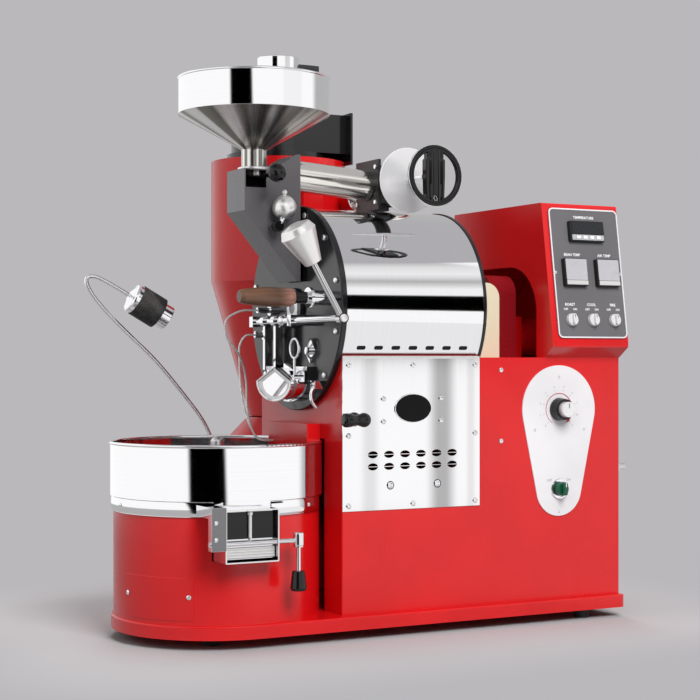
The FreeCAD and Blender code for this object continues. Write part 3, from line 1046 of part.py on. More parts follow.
def panel_block(x0, x1, up0, up1, out0, out1, corner=0.0):
    corners = [on_panel(x0, up0, out0), on_panel(x1, up0, out0), on_panel(x1, up1, out0),
               on_panel(x0, up1, out0)]
    block = Part.Face(Part.makePolygon(corners + corners[:1])).extrude(OUT * (out1 - out0))
    if corner:
        block = block.makeFillet(corner, edges_along(block, OUT))
    return block


METER = dict(x=352.0, up=192.0, half_x=36.0, half_up=18.0)
CONTROLLERS = [dict(x=321.0, up=119.5, half_x=24.0, half_up=24.0),
               dict(x=389.0, up=119.5, half_x=24.0, half_up=24.0)]
SWITCHES = [(307.8, 37.0), (353.0, 37.0), (398.2, 37.0)]


def arch(x0, x1, inset):
    half, top, corner = ARCH_HALF_WIDTH - inset, ARCH_TOP - inset, 85.0 - inset
    tunnel = rounded_box(x0, x1, DRUM_Y - half, DRUM_Y + half, CABINET_TOP - corner * 1.5, top, corner,
                         V(1, 0, 0))
    return tunnel.cut(box(x0 - 1, x1 + 1, DRUM_Y - half - 1, DRUM_Y + half + 1, 200, CABINET_TOP))


def make_control_box():
    lip_low = 471.0
    outline = [(CABINET_NEAR, CABINET_TOP), (BOX_LIP_Y, lip_low), (BOX_LIP_Y, BOX_LIP_Z),
               (BOX_TOP_NEAR_Y, BOX_TOP), (BOX_FAR_Y, BOX_TOP), (BOX_FAR_Y, CABINET_TOP)]
    outer = prism_yz(outline, BOX_FRONT, CABINET_REAR)
    soft = edges_along(outer, V(1, 0, 0), lambda c: c.z > lip_low - 1)
    outer = outer.makeFillet(3.0, soft)
    inside = [(CABINET_NEAR + 2, CABINET_TOP + 0.8), (BOX_LIP_Y + 1.6, lip_low + 1),
              (BOX_LIP_Y + 1.6, BOX_LIP_Z - 0.2), (BOX_TOP_NEAR_Y + 1.6, BOX_TOP - 1.5),
              (BOX_FAR_Y - 1.5, BOX_TOP - 1.5), (BOX_FAR_Y - 1.5, CABINET_TOP - 1),
              (CABINET_NEAR + 2, CABINET_TOP - 1)]
    hollow = prism_yz(inside, BOX_FRONT + SHEET, CABINET_REAR - SHEET)
    shell = outer.cut(hollow)
    end = 402.0
    shell = shell.fuse(arch(BOX_FRONT, end, 0)).cut(arch(BOX_FRONT - 1, end - SHEET, SHEET))
    for item in [METER] + CONTROLLERS:
        half_x, half_up = item["half_x"] - 1.5, item["half_up"] - 1.5
        shell = shell.cut(panel_block(item["x"] - half_x, item["x"] + half_x, item["up"] - half_up,
                                      item["up"] + half_up, -8, 4))
    for x, up in SWITCHES:
        shell = shell.cut(rod(on_panel(x, up, -8), on_panel(x, up, 4), 6))
    add("control_box", shell)

    panel = panel_block(PANEL_X0, PANEL_X1, PANEL_V0, PANEL_V1, 0.1, PANEL_THICKNESS, 9.0)
    for item in [METER] + CONTROLLERS:
        half_x, half_up = item["half_x"] - 1.5, item["half_up"] - 1.5
        panel = panel.cut(panel_block(item["x"] - half_x, item["x"] + half_x, item["up"] - half_up,
                                      item["up"] + half_up, -2, 4))
    for x, up in SWITCHES:
        panel = panel.cut(rod(on_panel(x, up, -2), on_panel(x, up, 4), 5 + RUNNING_GAP))
    add("control_panel", panel)

    bodies = []
    for item, proud in [(METER, 8.0)] + [(c, 9.0) for c in CONTROLLERS]:
        bezel = panel_block(item["x"] - item["half_x"], item["x"] + item["half_x"],
                            item["up"] - item["half_up"], item["up"] + item["half_up"],
                            PANEL_THICKNESS, PANEL_THICKNESS + proud, 2.0)
        half_x, half_up = item["half_x"] - 2.0, item["half_up"] - 2.0
        depth = 22.0 if item["up"] < 150 else 40.0
        can = panel_block(item["x"] - half_x, item["x"] + half_x, item["up"] - half_up,
                          item["up"] + half_up, -depth, PANEL_THICKNESS + 1)
        bodies.append(bezel.fuse(can))
    add("panel_instruments", *bodies)

    for number, (x, up) in enumerate(SWITCHES, 1):
        head = rod(on_panel(x, up, PANEL_THICKNESS + 0.3), on_panel(x, up, PANEL_THICKNESS + 7), 11.3, 10.6)
        grip = panel_block(x - 3.2, x + 3.2, up - 9.5, up + 9.5, PANEL_THICKNESS + 6, PANEL_THICKNESS + 13,
                           2.0)
        stem = rod(on_panel(x, up, -12), on_panel(x, up, PANEL_THICKNESS + 1), 5)
        add("switch_%d" % number, head.fuse([grip, stem]))


# ---------------------------------------------------------------- work lamp
def make_lamp():
    y = 76.0
    clip = box(-222, -190, 66.5, 84, 236, 262)
    clip = clip.cut(rod((PAN_X, DRUM_Y, 230), (PAN_X, DRUM_Y, 270), PAN_RADIUS + 0.1))
    neck = bent_tube([(-206, y, 258), (-206, y, 298), (-222, y, 338), (-262, y, 388), (-316, y, 450),
                      (-366, y, 494), (-412, y, 538), (-437, y, 570), (-441, y, 589), (-424, y, 592),
                      (-394, y, 577), (LAMP_START[0], y - 1, LAMP_START[2])], 3.6)
    add("lamp_arm", clip.fuse(neck))

    along = V(0.862, -0.06, -0.503).normalize()
    start = V(*LAMP_START)
    def ring(a, b, r0, r1):
        return rod(start + along * a, start + along * b, r0, r1)
    head = ring(1, 6, 8, 24).fuse([ring(6, 16, 25.5, 26), ring(16, 62, 27.5, 27.5), ring(62, 80, 22, 22)])
    head = head.cut(ring(70, 81, 19, 20))
    add("lamp_head", head)


LAMP_START = (-364.0, 75.0, 560.0)


def main():
    make_base()
    make_cabinet()
    make_side_plate()
    make_airflow_lever()
    make_teardrop()
    make_terminal_box()
    make_pan()
    make_pan_ring()
    make_gate_flap()
    make_pan_base()
    make_pan_inside()
    make_drum_housing()
    make_front_plate()
    make_latch()
    make_drum()
    make_drive()
    make_rear_covers()
    make_burner()
    make_tryer()
    make_discharge_door()
    make_probes()
    make_chute()
    make_exhaust()
    make_cyclone()
    make_fan()
    make_control_box()
    make_lamp()
    os.makedirs("parts", exist_ok=True)
    for name, shape in PARTS.items():
        if not shape.isValid():
            print("not valid:", name)
        shape.exportStep("parts/%s.step" % name)
    print(len(PARTS), "parts")


main()
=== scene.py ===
"""Finishes and detail pieces of a small gas coffee roaster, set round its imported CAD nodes."""
import logging
import math
from dataclasses import dataclass
from enum import Enum
from typing import Callable, Iterable, List, Mapping, Optional, Sequence, Tuple, Union

import bmesh
import bpy
import numpy as np
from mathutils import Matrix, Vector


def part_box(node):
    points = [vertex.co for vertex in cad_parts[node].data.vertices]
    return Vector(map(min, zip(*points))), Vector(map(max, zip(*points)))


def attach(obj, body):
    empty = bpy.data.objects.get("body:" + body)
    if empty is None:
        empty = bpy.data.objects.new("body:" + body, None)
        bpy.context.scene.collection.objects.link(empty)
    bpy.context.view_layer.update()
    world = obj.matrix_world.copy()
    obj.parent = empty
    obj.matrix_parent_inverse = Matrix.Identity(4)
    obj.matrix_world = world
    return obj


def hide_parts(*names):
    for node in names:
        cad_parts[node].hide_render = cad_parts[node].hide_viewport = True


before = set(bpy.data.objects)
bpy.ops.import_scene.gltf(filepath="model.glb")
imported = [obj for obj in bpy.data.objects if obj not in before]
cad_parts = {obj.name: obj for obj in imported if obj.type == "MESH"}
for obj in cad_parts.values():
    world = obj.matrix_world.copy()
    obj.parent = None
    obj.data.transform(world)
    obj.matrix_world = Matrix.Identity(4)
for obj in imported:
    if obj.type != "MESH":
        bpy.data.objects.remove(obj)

LOG = logging.getLogger("roaster")
MM = 0.001
Colour = Tuple[float, float, float]
Point = Tuple[float, float, float]
Pair = Tuple[float, float]
Array = np.ndarray


# ------------------------------------------------------------------ shader arithmetic
def math_method(operation: str, swapped: bool = False) -> Callable[["Signal", "Value"], "Signal"]:
    """Make a Signal method that adds one Math node.

    Args:
        operation: the node's operation.
        swapped: whether the signal is the second operand, as in a reflected operator.

    Returns:
        The method.
    """
    def method(signal: "Signal", other: "Value") -> "Signal":
        """Join the signal and the other value."""
        pair = (other, signal) if swapped else (signal, other)
        return signal.graph.maths(operation, *pair)
    return method


class Signal:
    """A shader socket that Python arithmetic works on; every operation adds its Math node."""

    def __init__(self, graph: "Graph", socket: bpy.types.NodeSocket) -> None:
        """Keep the socket and the graph that it belongs to."""
        self.graph = graph
        self.socket = socket

    __add__, __radd__ = math_method("ADD"), math_method("ADD", True)
    __sub__, __rsub__ = math_method("SUBTRACT"), math_method("SUBTRACT", True)
    __mul__, __rmul__ = math_method("MULTIPLY"), math_method("MULTIPLY", True)
    most = math_method("MAXIMUM")

    def __abs__(self) -> "Signal":
        """Absolute value."""
        return self.graph.maths("ABSOLUTE", self)


Value = Union[float, Signal]
MIX_FACTOR, MIX_FIRST, MIX_SECOND, MIX_RESULT = 0, 6, 7, 2


class Graph:
    """The node tree of one material or of the world."""

    def __init__(self, tree: bpy.types.NodeTree) -> None:
        """Start from an empty tree."""
        self.tree = tree
        tree.nodes.clear()

    def node(self, kind: str, settings: Optional[Mapping[str, object]] = None,
             inputs: Optional[Mapping[Union[str, int], object]] = None) -> bpy.types.Node:
        """Add one node.

        Args:
            kind: the node's type name.
            settings: attributes that are set first.
            inputs: values or signals for its sockets, by name or number.

        Returns:
            The new node.
        """
        made = self.tree.nodes.new(kind)
        for key, value in (settings or {}).items():
            setattr(made, key, value)
        for key, value in (inputs or {}).items():
            if isinstance(value, Signal):
                self.tree.links.new(value.socket, made.inputs[key])
            else:
                made.inputs[key].default_value = value
        return made

    def signal(self, kind: str, output: Union[str, int] = 0,
               settings: Optional[Mapping[str, object]] = None,
               inputs: Optional[Mapping[Union[str, int], object]] = None) -> Signal:
        """Add one node and return one of its outputs."""
        return Signal(self, self.node(kind, settings, inputs).outputs[output])

    def maths(self, operation: str, *values: Value) -> Signal:
        """Add a Math node."""
        return self.signal("ShaderNodeMath", 0, {"operation": operation}, dict(enumerate(values)))

    def position(self, scale: Point = (1.0, 1.0, 1.0), turn: Point = (0.0, 0.0, 0.0)) -> Signal:
        """Object coordinates in metres, through a Mapping node: scaled, then turned."""
        place = self.signal("ShaderNodeTexCoord", "Object")
        return self.signal("ShaderNodeMapping", 0, {"vector_type": "POINT"},
                           {"Vector": place, "Rotation": turn, "Scale": scale})

    def axes(self, vector: Signal) -> Tuple[Signal, Signal, Signal]:
        """The three parts of a vector."""
        made = self.node("ShaderNodeSeparateXYZ", None, {"Vector": vector})
        return tuple(Signal(self, output) for output in made.outputs)

    def noise(self, vector: Signal, scale: float, detail: float = 2.0, rough: float = 0.5,
              twist: float = 0.0) -> Signal:
        """Smooth noise between 0 and 1."""
        return self.signal("ShaderNodeTexNoise", "Fac", None,
                           {"Vector": vector, "Scale": scale, "Detail": detail, "Roughness": rough,
                            "Distortion": twist})

    def levels(self, value: Signal, low: float, high: float, start: float = 0.0,
               end: float = 1.0) -> Signal:
        """Spread low..high smoothly over start..end and hold the ends."""
        return self.signal("ShaderNodeMapRange", 0, {"interpolation_type": "SMOOTHSTEP"},
                           {"Value": value, "From Min": low, "From Max": high, "To Min": start,
                            "To Max": end})

    def blend(self, factor: Value, first: Union[Colour, Signal],
              second: Union[Colour, Signal]) -> Signal:
        """Mix two colours."""
        pair = [c if isinstance(c, Signal) else (*c, 1.0) for c in (first, second)]
        return self.signal("ShaderNodeMix", MIX_RESULT, {"data_type": "RGBA"},
                           {MIX_FACTOR: factor, MIX_FIRST: pair[0], MIX_SECOND: pair[1]})

    def bump(self, height: Signal, depth: float, strength: float) -> Signal:
        """A normal from a height signal whose 0..1 stands for a depth in metres."""
        return self.signal("ShaderNodeBump", 0, None,
                           {"Height": height, "Distance": depth, "Strength": strength})

    def glow(self, kind: str, colour: Colour, strength: Value = 1.0) -> Signal:
        """An Emission or Background shader of one colour."""
        return self.signal(kind, 0, None, {"Color": (*colour, 1.0), "Strength": strength})

    def mix_shader(self, factor: Signal, first: Signal, second: Signal) -> Signal:
        """The first shader at factor 0, the second at factor 1."""
        return self.signal("ShaderNodeMixShader", 0, None, {0: factor, 1: first, 2: second})

    def surface(self, **sockets: object) -> None:
        """Finish the tree with a Principled shader; underscores in names stand for spaces."""
        inputs = {key.replace("_", " "): value for key, value in sockets.items()}
        shader = self.signal("ShaderNodeBsdfPrincipled", 0, None, inputs)
        self.node("ShaderNodeOutputMaterial", None, {"Surface": shader})


# ------------------------------------------------------------------ finishes
class Grain(Enum):
    """Which way the polishing marks run; the vector stretches noise across them."""

    AROUND_Z = (5.0, 5.0, 1100.0)
    AROUND_X = (1100.0, 5.0, 5.0)
    AROUND_Y = (5.0, 1100.0, 5.0)
    UPRIGHT = (900.0, 900.0, 6.0)
    FINE = (260.0, 260.0, 260.0)


@dataclass(frozen=True)
class Finish:
    """A named surface finish."""

    name: str

    def paint(self, graph: Graph) -> None:
        """Write the finish into an empty graph."""
        raise NotImplementedError

    def material(self) -> bpy.types.Material:
        """The Blender material of this finish, made once."""
        name = self.name + "_finish"
        made = bpy.data.materials.get(name)
        if made is None:
            made = bpy.data.materials.new(name)
            made.use_nodes = True
            self.paint(Graph(made.node_tree))
        return made


def scaled(colour: Colour, factor: float) -> Colour:
    """A colour times a number."""
    return tuple(min(1.0, part * factor) for part in colour)


@dataclass(frozen=True)
class GlossPaint(Finish):
    """Baked gloss paint: slight orange peel, soft clouding, a few dull smears and a clear coat."""

    colour: Colour
    roughness: float = 0.22
    peel: float = 0.00004
    coat: float = 0.0
    bend: float = 1.5

    def paint(self, graph: Graph) -> None:
        """Colour clouding at hand size, peel at 1.5 mm, smears that raise the roughness."""
        place = graph.position()
        cloud = graph.noise(place, 7.0, 3.0)
        smear = graph.levels(graph.noise(graph.position((1.0, 1.0, 0.35)), 16.0, 5.0, 0.6), 0.5, 0.78)
        peel = graph.noise(place, 620.0, 1.0)
        tone = graph.blend(graph.levels(cloud, 0.3, 0.7), scaled(self.colour, 0.93),
                           scaled(self.colour, 1.05))
        graph.surface(Base_Color=tone, Roughness=self.roughness + 0.10 * smear,
                      Normal=graph.bump(peel, self.peel, 0.6), Coat_Weight=self.coat,
                      Coat_Roughness=0.05, IOR=self.bend)


@dataclass(frozen=True)
class PolishedMetal(Finish):
    """Polished or brushed sheet metal with marks along its grain and faint handling smears."""

    colour: Colour
    roughness: float = 0.10
    grain: Grain = Grain.FINE
    marks: float = 0.05
    depth: float = 0.000004
    metallic: float = 1.0

    def paint(self, graph: Graph) -> None:
        """Grain noise moves the roughness and tilts the surface; smears dull it in patches."""
        brush = graph.noise(graph.position(self.grain.value), 1.0, 3.0, 0.6)
        smear = graph.levels(graph.noise(graph.position(), 11.0, 5.0, 0.62, 0.4), 0.52, 0.8)
        tone = graph.blend(brush, scaled(self.colour, 0.94), scaled(self.colour, 1.03))
        rough = self.roughness + self.marks * (brush - 0.5) + 0.06 * smear
        graph.surface(Base_Color=tone, Metallic=self.metallic, Roughness=rough.most(0.02),
                      Normal=graph.bump(brush, self.depth, 0.5))


@dataclass(frozen=True)
class BandedSheet(Finish):
    """Rolled sheet with upright hairlines and soft dark bands of painted reflection: (across, half
    width, share).
    """

    colour: Colour
    roughness: float
    bands: Tuple[Point, ...]

    def paint(self, graph: Graph) -> None:
        """A band's share falls smoothly to nothing at its half width; heights wobble its strength."""
        across, _, up = graph.axes(graph.position())
        fade = graph.noise(graph.position((0.6, 1.0, 2.2)), 3.0, 2.0)
        # The dark bands are painted reflections: they darken the colour where the polished plate would
        # reflect dark surroundings; the hairlines are the sheet's own.
        painted_reflection: Value = 0.0
        for middle, half, share in self.bands:
            near = graph.levels(abs(across - middle), half, 0.15 * half)
            painted_reflection = near * share + painted_reflection
        hair = graph.noise(graph.position(Grain.UPRIGHT.value), 1.0, 4.0)
        tone = graph.blend(painted_reflection * (0.8 + 0.4 * fade), self.colour, scaled(self.colour, 0.12))
        fine = graph.blend(0.05 * hair, tone, (0.3, 0.3, 0.31))
        graph.surface(Base_Color=fine, Metallic=1.0, Roughness=self.roughness + 0.05 * hair)


@dataclass(frozen=True)
class SpunCone(Finish):
    """Spun sheet about an upright axis, with dull streaks that run up and down its slope."""

    colour: Colour
    streak: Colour
    axis: Pair

    def paint(self, graph: Graph) -> None:
        """The compass angle about the axis, stretched through noise, gives the streaks."""
        across, along, _ = graph.axes(graph.position())
        angle = graph.maths("ARCTAN2", along - self.axis[1], across - self.axis[0])
        lane = graph.signal("ShaderNodeCombineXYZ", 0, None, {0: angle * 3.1, 1: 4.7})
        broad = graph.levels(graph.noise(lane, 1.0, 2.0, 0.45), 0.40, 0.58)
        fine = graph.noise(lane, 22.0, 3.0)
        tone = graph.blend(broad * (0.75 + 0.5 * fine), self.colour, self.streak)
        graph.surface(Base_Color=tone, Metallic=1.0, Roughness=0.20 + 0.12 * fine)


@dataclass(frozen=True)
class CastMetal(Finish):
    """Sand-cast or crackle-painted metal."""

    colour: Colour
    roughness: float = 0.45
    grit: float = 0.00025
    metallic: float = 0.0

    def paint(self, graph: Graph) -> None:
        """Grit at 1 to 3 mm over a clouded colour."""
        place = graph.position()
        grit = graph.noise(place, 520.0, 4.0, 0.65)
        cloud = graph.noise(place, 12.0, 3.0)
        tone = graph.blend(graph.levels(cloud, 0.3, 0.7), scaled(self.colour, 0.8),
                           scaled(self.colour, 1.25))
        graph.surface(Base_Color=tone, Metallic=self.metallic,
                      Roughness=self.roughness + 0.18 * (grit - 0.5),
                      Normal=graph.bump(grit, self.grit, 0.6))


@dataclass(frozen=True)
class MouldedPlastic(Finish):
    """Moulded plastic or Bakelite: even colour, fine spark-erosion texture, faint flow marks."""

    colour: Colour
    roughness: float = 0.25
    texture: float = 0.00003
    bend: float = 1.45

    def paint(self, graph: Graph) -> None:
        """A fine texture with flow clouding in the roughness."""
        place = graph.position()
        texture = graph.noise(place, 1500.0, 2.0)
        flow = graph.noise(graph.position((1.0, 3.0, 1.0)), 40.0, 3.0, 0.5, 1.0)
        tone = graph.blend(flow, scaled(self.colour, 0.88), scaled(self.colour, 1.12))
        graph.surface(Base_Color=tone, Roughness=self.roughness + 0.10 * (flow - 0.5),
                      Normal=graph.bump(texture, self.texture, 0.5), IOR=self.bend)


@dataclass(frozen=True)
class SoftRubber(Finish):
    """Matt rubber with dust caught in its pores."""

    colour: Colour

    def paint(self, graph: Graph) -> None:
        """Pores at 1 mm, pale dust on top of them."""
        place = graph.position()
        pores = graph.noise(place, 900.0, 3.0)
        dust = graph.levels(graph.noise(place, 30.0, 4.0), 0.45, 0.8, 0.0, 0.25)
        graph.surface(Base_Color=graph.blend(dust, self.colour, (0.20, 0.19, 0.18)),
                      Roughness=0.72 + 0.12 * (pores - 0.5), Normal=graph.bump(pores, 0.0001, 0.5))


@dataclass(frozen=True)
class OiledWood(Finish):
    """Turned hardwood whose grain runs along X; it lightens towards the ferrule end as a painted
    highlight, so it is darker towards the free end.
    """

    dark: Colour
    # light is the colour of the painted highlight at the ferrule end.
    light: Colour
    start: float
    end: float

    def paint(self, graph: Graph) -> None:
        """Growth rings cut lengthwise: stretched noise drives colour, pores drive the bump."""
        ring = graph.noise(graph.position((14.0, 260.0, 260.0)), 1.0, 4.0, 0.6, 0.6)
        pore = graph.noise(graph.position((60.0, 1500.0, 1500.0)), 1.0, 2.0)
        # The blend from dark to light along X is a painted highlight at the ferrule end; the rings and
        # pores are the wood's own.
        along, _, _ = graph.axes(graph.position())
        fade = graph.levels(along, self.start, self.end)
        base = graph.blend(fade, self.dark, self.light)
        tone = graph.blend(graph.levels(ring, 0.35, 0.7, 0.0, 0.65), base, scaled(self.dark, 0.6))
        graph.surface(Base_Color=tone, Roughness=0.32 + 0.15 * pore, Coat_Weight=0.25,
                      Coat_Roughness=0.2, Normal=graph.bump(pore, 0.00008, 0.5))


@dataclass(frozen=True)
class FibreWool(Finish):
    """Heat-proof fibre blanket."""

    colour: Colour

    def paint(self, graph: Graph) -> None:
        """Long fibres crossing at two angles."""
        one = graph.noise(graph.position((900.0, 90.0, 90.0)), 1.0, 3.0)
        two = graph.noise(graph.position((90.0, 900.0, 300.0)), 1.0, 3.0)
        fibre = one.most(two)
        graph.surface(Base_Color=graph.blend(fibre, scaled(self.colour, 0.7), self.colour),
                      Roughness=0.9 - 0.1 * fibre, Normal=graph.bump(fibre, 0.0008, 0.8))


@dataclass(frozen=True)
class BraidedWire(Finish):
    """Braided metal over a thin lead."""

    colour: Colour

    def paint(self, graph: Graph) -> None:
        """Two families of slanting waves cross each other at 1.2 mm."""
        left, right = (graph.signal("ShaderNodeTexWave", "Fac", {"wave_type": "BANDS"},
                                    {"Vector": graph.position(turn=(lean, lean, 0.0)),
                                     "Scale": 260.0, "Distortion": 0.4}) for lean in (0.9, -0.9))
        weave = left.most(right)
        graph.surface(Base_Color=graph.blend(weave, scaled(self.colour, 0.35), self.colour),
                      Metallic=0.8, Roughness=0.55 - 0.2 * weave,
                      Normal=graph.bump(weave, 0.0002, 0.7))


@dataclass(frozen=True)
class Glazing(Finish):
    """A display window behind a thin pane."""

    colour: Colour

    def paint(self, graph: Graph) -> None:
        """Even ground with faint dust in the roughness."""
        dust = graph.levels(graph.noise(graph.position(), 300.0, 4.0), 0.5, 0.9)
        graph.surface(Base_Color=graph.blend(dust, self.colour, scaled(self.colour, 2.0)),
                      Roughness=0.22 + 0.25 * dust, IOR=1.4)


@dataclass(frozen=True)
class LampLens(Finish):
    """Frosted lens of the work lamp."""

    colour: Colour

    def paint(self, graph: Graph) -> None:
        """Fine facets in the normal, soft white."""
        facets = graph.noise(graph.position(), 420.0, 1.0)
        graph.surface(Base_Color=graph.blend(facets, scaled(self.colour, 0.85), self.colour),
                      Roughness=0.18 + 0.2 * facets, Coat_Weight=0.8,
                      Normal=graph.bump(facets, 0.0003, 0.5))


RED = GlossPaint("red_paint", (0.62, 0.006, 0.008))
# The gear cover's darker red is painted shade: it stands for the shadow that the control box and drum
# cast on the red cover.
SHADED_RED = GlossPaint("gear_cover_painted_shade", (0.20, 0.006, 0.010), 0.26)
BLACK = GlossPaint("black_paint", (0.007, 0.007, 0.008), 0.15)
CHUTE_BLACK = GlossPaint("chute_paint", (0.080, 0.075, 0.082), 0.26, 0.00012, 0.2, 1.6)
CREAM = GlossPaint("cream_paint", (0.74, 0.69, 0.50), 0.35)
WHITE = GlossPaint("white_paint", (0.76, 0.745, 0.76), 0.28, bend=1.42)
PANEL = GlossPaint("panel_grey", (0.130, 0.126, 0.133), 0.42, 0.00008, 0.0, 1.4)
EDGE_SILVER = GlossPaint("edge_silver", (0.74, 0.73, 0.75), 0.30)
HOUSING = PolishedMetal("polished_round_x", (0.86, 0.86, 0.87), 0.05, Grain.AROUND_X, 0.04)
TUBE_STEEL = PolishedMetal("polished_tube", (0.90, 0.87, 0.82), 0.17, Grain.AROUND_X, 0.06)
# The side plate's dark bands across X are painted reflections; its hairlines are real.
SIDE_SHEET = BandedSheet("side_sheet_painted_reflections", (0.88, 0.88, 0.89), 0.06,
                         ((0.062, 0.034, 0.62), (-0.074, 0.022, 0.22), (0.118, 0.012, 0.18)))
ROUND_Z = PolishedMetal("polished_round_z", (0.88, 0.88, 0.89), 0.06, Grain.AROUND_Z, 0.05)
SATIN = PolishedMetal("satin_steel", (0.66, 0.66, 0.67), 0.28, Grain.FINE, 0.12, 0.00001)
CHROME = PolishedMetal("chrome", (0.87, 0.87, 0.89), 0.05, Grain.FINE, 0.02, 0.000002)
SATIN_BRIGHT = PolishedMetal("satin_bright", (0.84, 0.83, 0.82), 0.30, Grain.FINE, 0.08, 0.000008, 0.8)
DOOR_STEEL = PolishedMetal("door_steel", (0.62, 0.61, 0.61), 0.36, Grain.FINE, 0.12, 0.00001, 0.75)
GOOSENECK = PolishedMetal("gooseneck_steel", (0.78, 0.78, 0.79), 0.20, Grain.FINE, 0.08, 0.000006)
SILVER_KNOB = PolishedMetal("silver_knob", (0.84, 0.83, 0.84), 0.30, Grain.AROUND_Y, 0.10,
                            0.00001, 0.5)
DIAL_SILVER = PolishedMetal("dial_silver", (0.84, 0.83, 0.84), 0.24, Grain.AROUND_Y, 0.12,
                            0.00001, 0.45)
DARK_STEEL = PolishedMetal("dark_steel", (0.25, 0.25, 0.26), 0.42, Grain.FINE, 0.2, 0.00004)
ALUMINIUM = PolishedMetal("aluminium", (0.86, 0.86, 0.87), 0.34, Grain.AROUND_Y, 0.12, 0.00001)
CAST = CastMetal("cast_black", (0.010, 0.010, 0.011), 0.34)
MOTOR = CastMetal("motor_grey", (0.018, 0.018, 0.020), 0.36, 0.0002)
BAKELITE = MouldedPlastic("black_bakelite", (0.005, 0.005, 0.005), 0.10, 0.00001, 1.42)
MATT_BLACK = MouldedPlastic("matt_black", (0.010, 0.010, 0.011), 0.45, 0.00006, 1.4)
GREY_PLASTIC = MouldedPlastic("grey_fascia", (0.44, 0.43, 0.45), 0.42)
GREEN = MouldedPlastic("green_plastic", (0.003, 0.075, 0.034), 0.15)
BADGE_BLACK = MouldedPlastic("badge_black", (0.004, 0.004, 0.004), 0.25, 0.00001, 1.22)
RED_MARK = MouldedPlastic("red_marking", (0.42, 0.02, 0.05), 0.4)
PRINT_WHITE = MouldedPlastic("white_print", (0.88, 0.88, 0.88), 0.5)
PRINT_BLACK = MouldedPlastic("black_print", (0.03, 0.03, 0.03), 0.5)
PRINT_GREY = MouldedPlastic("grey_print", (0.40, 0.40, 0.42), 0.5)
RUBBER = SoftRubber("soft_rubber", (0.012, 0.012, 0.012))
# The wood's lighter colour, towards the ferrule, is a painted highlight.
WOOD = OiledWood("turned_wood_painted_highlight", (0.12, 0.055, 0.028), (0.56, 0.27, 0.20), -0.232, -0.200)
# The blanket's near-black colour is painted shade: it stands for the dark inside the housing's slots,
# through which alone it is seen.
SLOT_SHADE_WOOL = FibreWool("fibre_wool_painted_shade", (0.010, 0.010, 0.010))
BRAID = BraidedWire("braided_lead", (0.80, 0.78, 0.77))
WINDOW = Glazing("display_window", (0.010, 0.012, 0.014))
LENS = LampLens("lamp_lens", (0.88, 0.88, 0.86))
SPUN_CONE = SpunCone("spun_cone", (0.80, 0.79, 0.77), (0.20, 0.19, 0.165), (-0.209, -0.1))

FINISH_NODES: Tuple[Tuple[Finish, str], ...] = (
    (RED, "base_plate cabinet_shell front_terminal_box pan_base drum_motor cyclone_body chaff_bin "
          "control_box"),
    # painted shade: the gear cover gets the darker red
    (SHADED_RED, "gear_cover"),
    (BLACK, "rear_plate front_plate fan_scroll"),
    (CHUTE_BLACK, "feed_chute"),
    (CREAM, "rear_casing"),
    (WHITE, "teardrop_plate"),
    (PANEL, "control_panel"),
    (MATT_BLACK, "panel_instruments"),
    (BAKELITE, "airflow_lever gas_knob feed_gate damper_handwheel"),
    (GREEN, "green_selector"),
    (RUBBER, "rubber_feet"),
    (WOOD, "tryer_handle"),
    (SLOT_SHADE_WOOL, "drum_insulation"),
    (BRAID, "probe_leads"),
    (CAST, "damper_body"),
    (MOTOR, "cooling_motors"),
    (SIDE_SHEET, "side_plate"),
    (ROUND_Z, "cooling_pan hopper fan_motor"),
    (HOUSING, "drum_housing"),
    (TUBE_STEEL, "exhaust_duct"),
    (DIAL_SILVER, "damper_dial"),
    (SILVER_KNOB, "switch_1 switch_2 switch_3"),
    (SATIN, "pan_floor stirrer shaft_bearings gas_inlet"),
    (DARK_STEEL, "drum motor_sprocket drive_chain gas_burner"),
    (ALUMINIUM, "cooling_impeller exhaust_impeller"),
    (CHROME, "cover_screws pan_ring gate_flap front_plate_fittings latch_lever tryer_scoop "
             "discharge_frame discharge_door door_weight sight_lamp lamp_arm lamp_head"),
)


# ------------------------------------------------------------------ places and outlines
@dataclass(frozen=True)
class Plane:
    """A flat working place in millimetres: an origin, a direction across and a direction up."""

    origin: Point
    across: Point = (1.0, 0.0, 0.0)
    up: Point = (0.0, 0.0, 1.0)

    def axes(self) -> Array:
        """Across, up and their cross product, which points out of the place."""
        return np.array([self.across, self.up, np.cross(self.across, self.up)])

    def carry(self, local: Array) -> Array:
        """Turn local (across, up, out) places into the machine's."""
        return np.asarray(self.origin) + np.asarray(local, float) @ self.axes()

    def moved(self, across: float = 0.0, up: float = 0.0, out: float = 0.0) -> "Plane":
        """The same directions from another origin."""
        return Plane(tuple(self.carry(np.array([across, up, out]))), self.across, self.up)


def facing_near(x: float, y: float, z: float) -> Plane:
    """A place that faces the side with the controls, -Y."""
    return Plane((x, y, z))


def facing_front(x: float, y: float, z: float) -> Plane:
    """A place that faces the pan, -X."""
    return Plane((x, y, z), (0.0, -1.0, 0.0), (0.0, 0.0, 1.0))


def facing_rear(x: float, y: float, z: float) -> Plane:
    """A place that faces +X."""
    return Plane((x, y, z), (0.0, 1.0, 0.0), (0.0, 0.0, 1.0))


def lying(x: float, y: float, z: float) -> Plane:
    """A level place that faces up."""
    return Plane((x, y, z), (1.0, 0.0, 0.0), (0.0, 1.0, 0.0))


def along_line(origin: Point, direction: Point, side: Point = (0.0, 1.0, 0.0)) -> Plane:
    """A place whose out direction is the given one."""
    out = np.asarray(direction, float)
    out = out / np.linalg.norm(out)
    across = np.cross(np.asarray(side, float), out)
    across = across / np.linalg.norm(across)
    return Plane(origin, tuple(across), tuple(np.cross(out, across)))


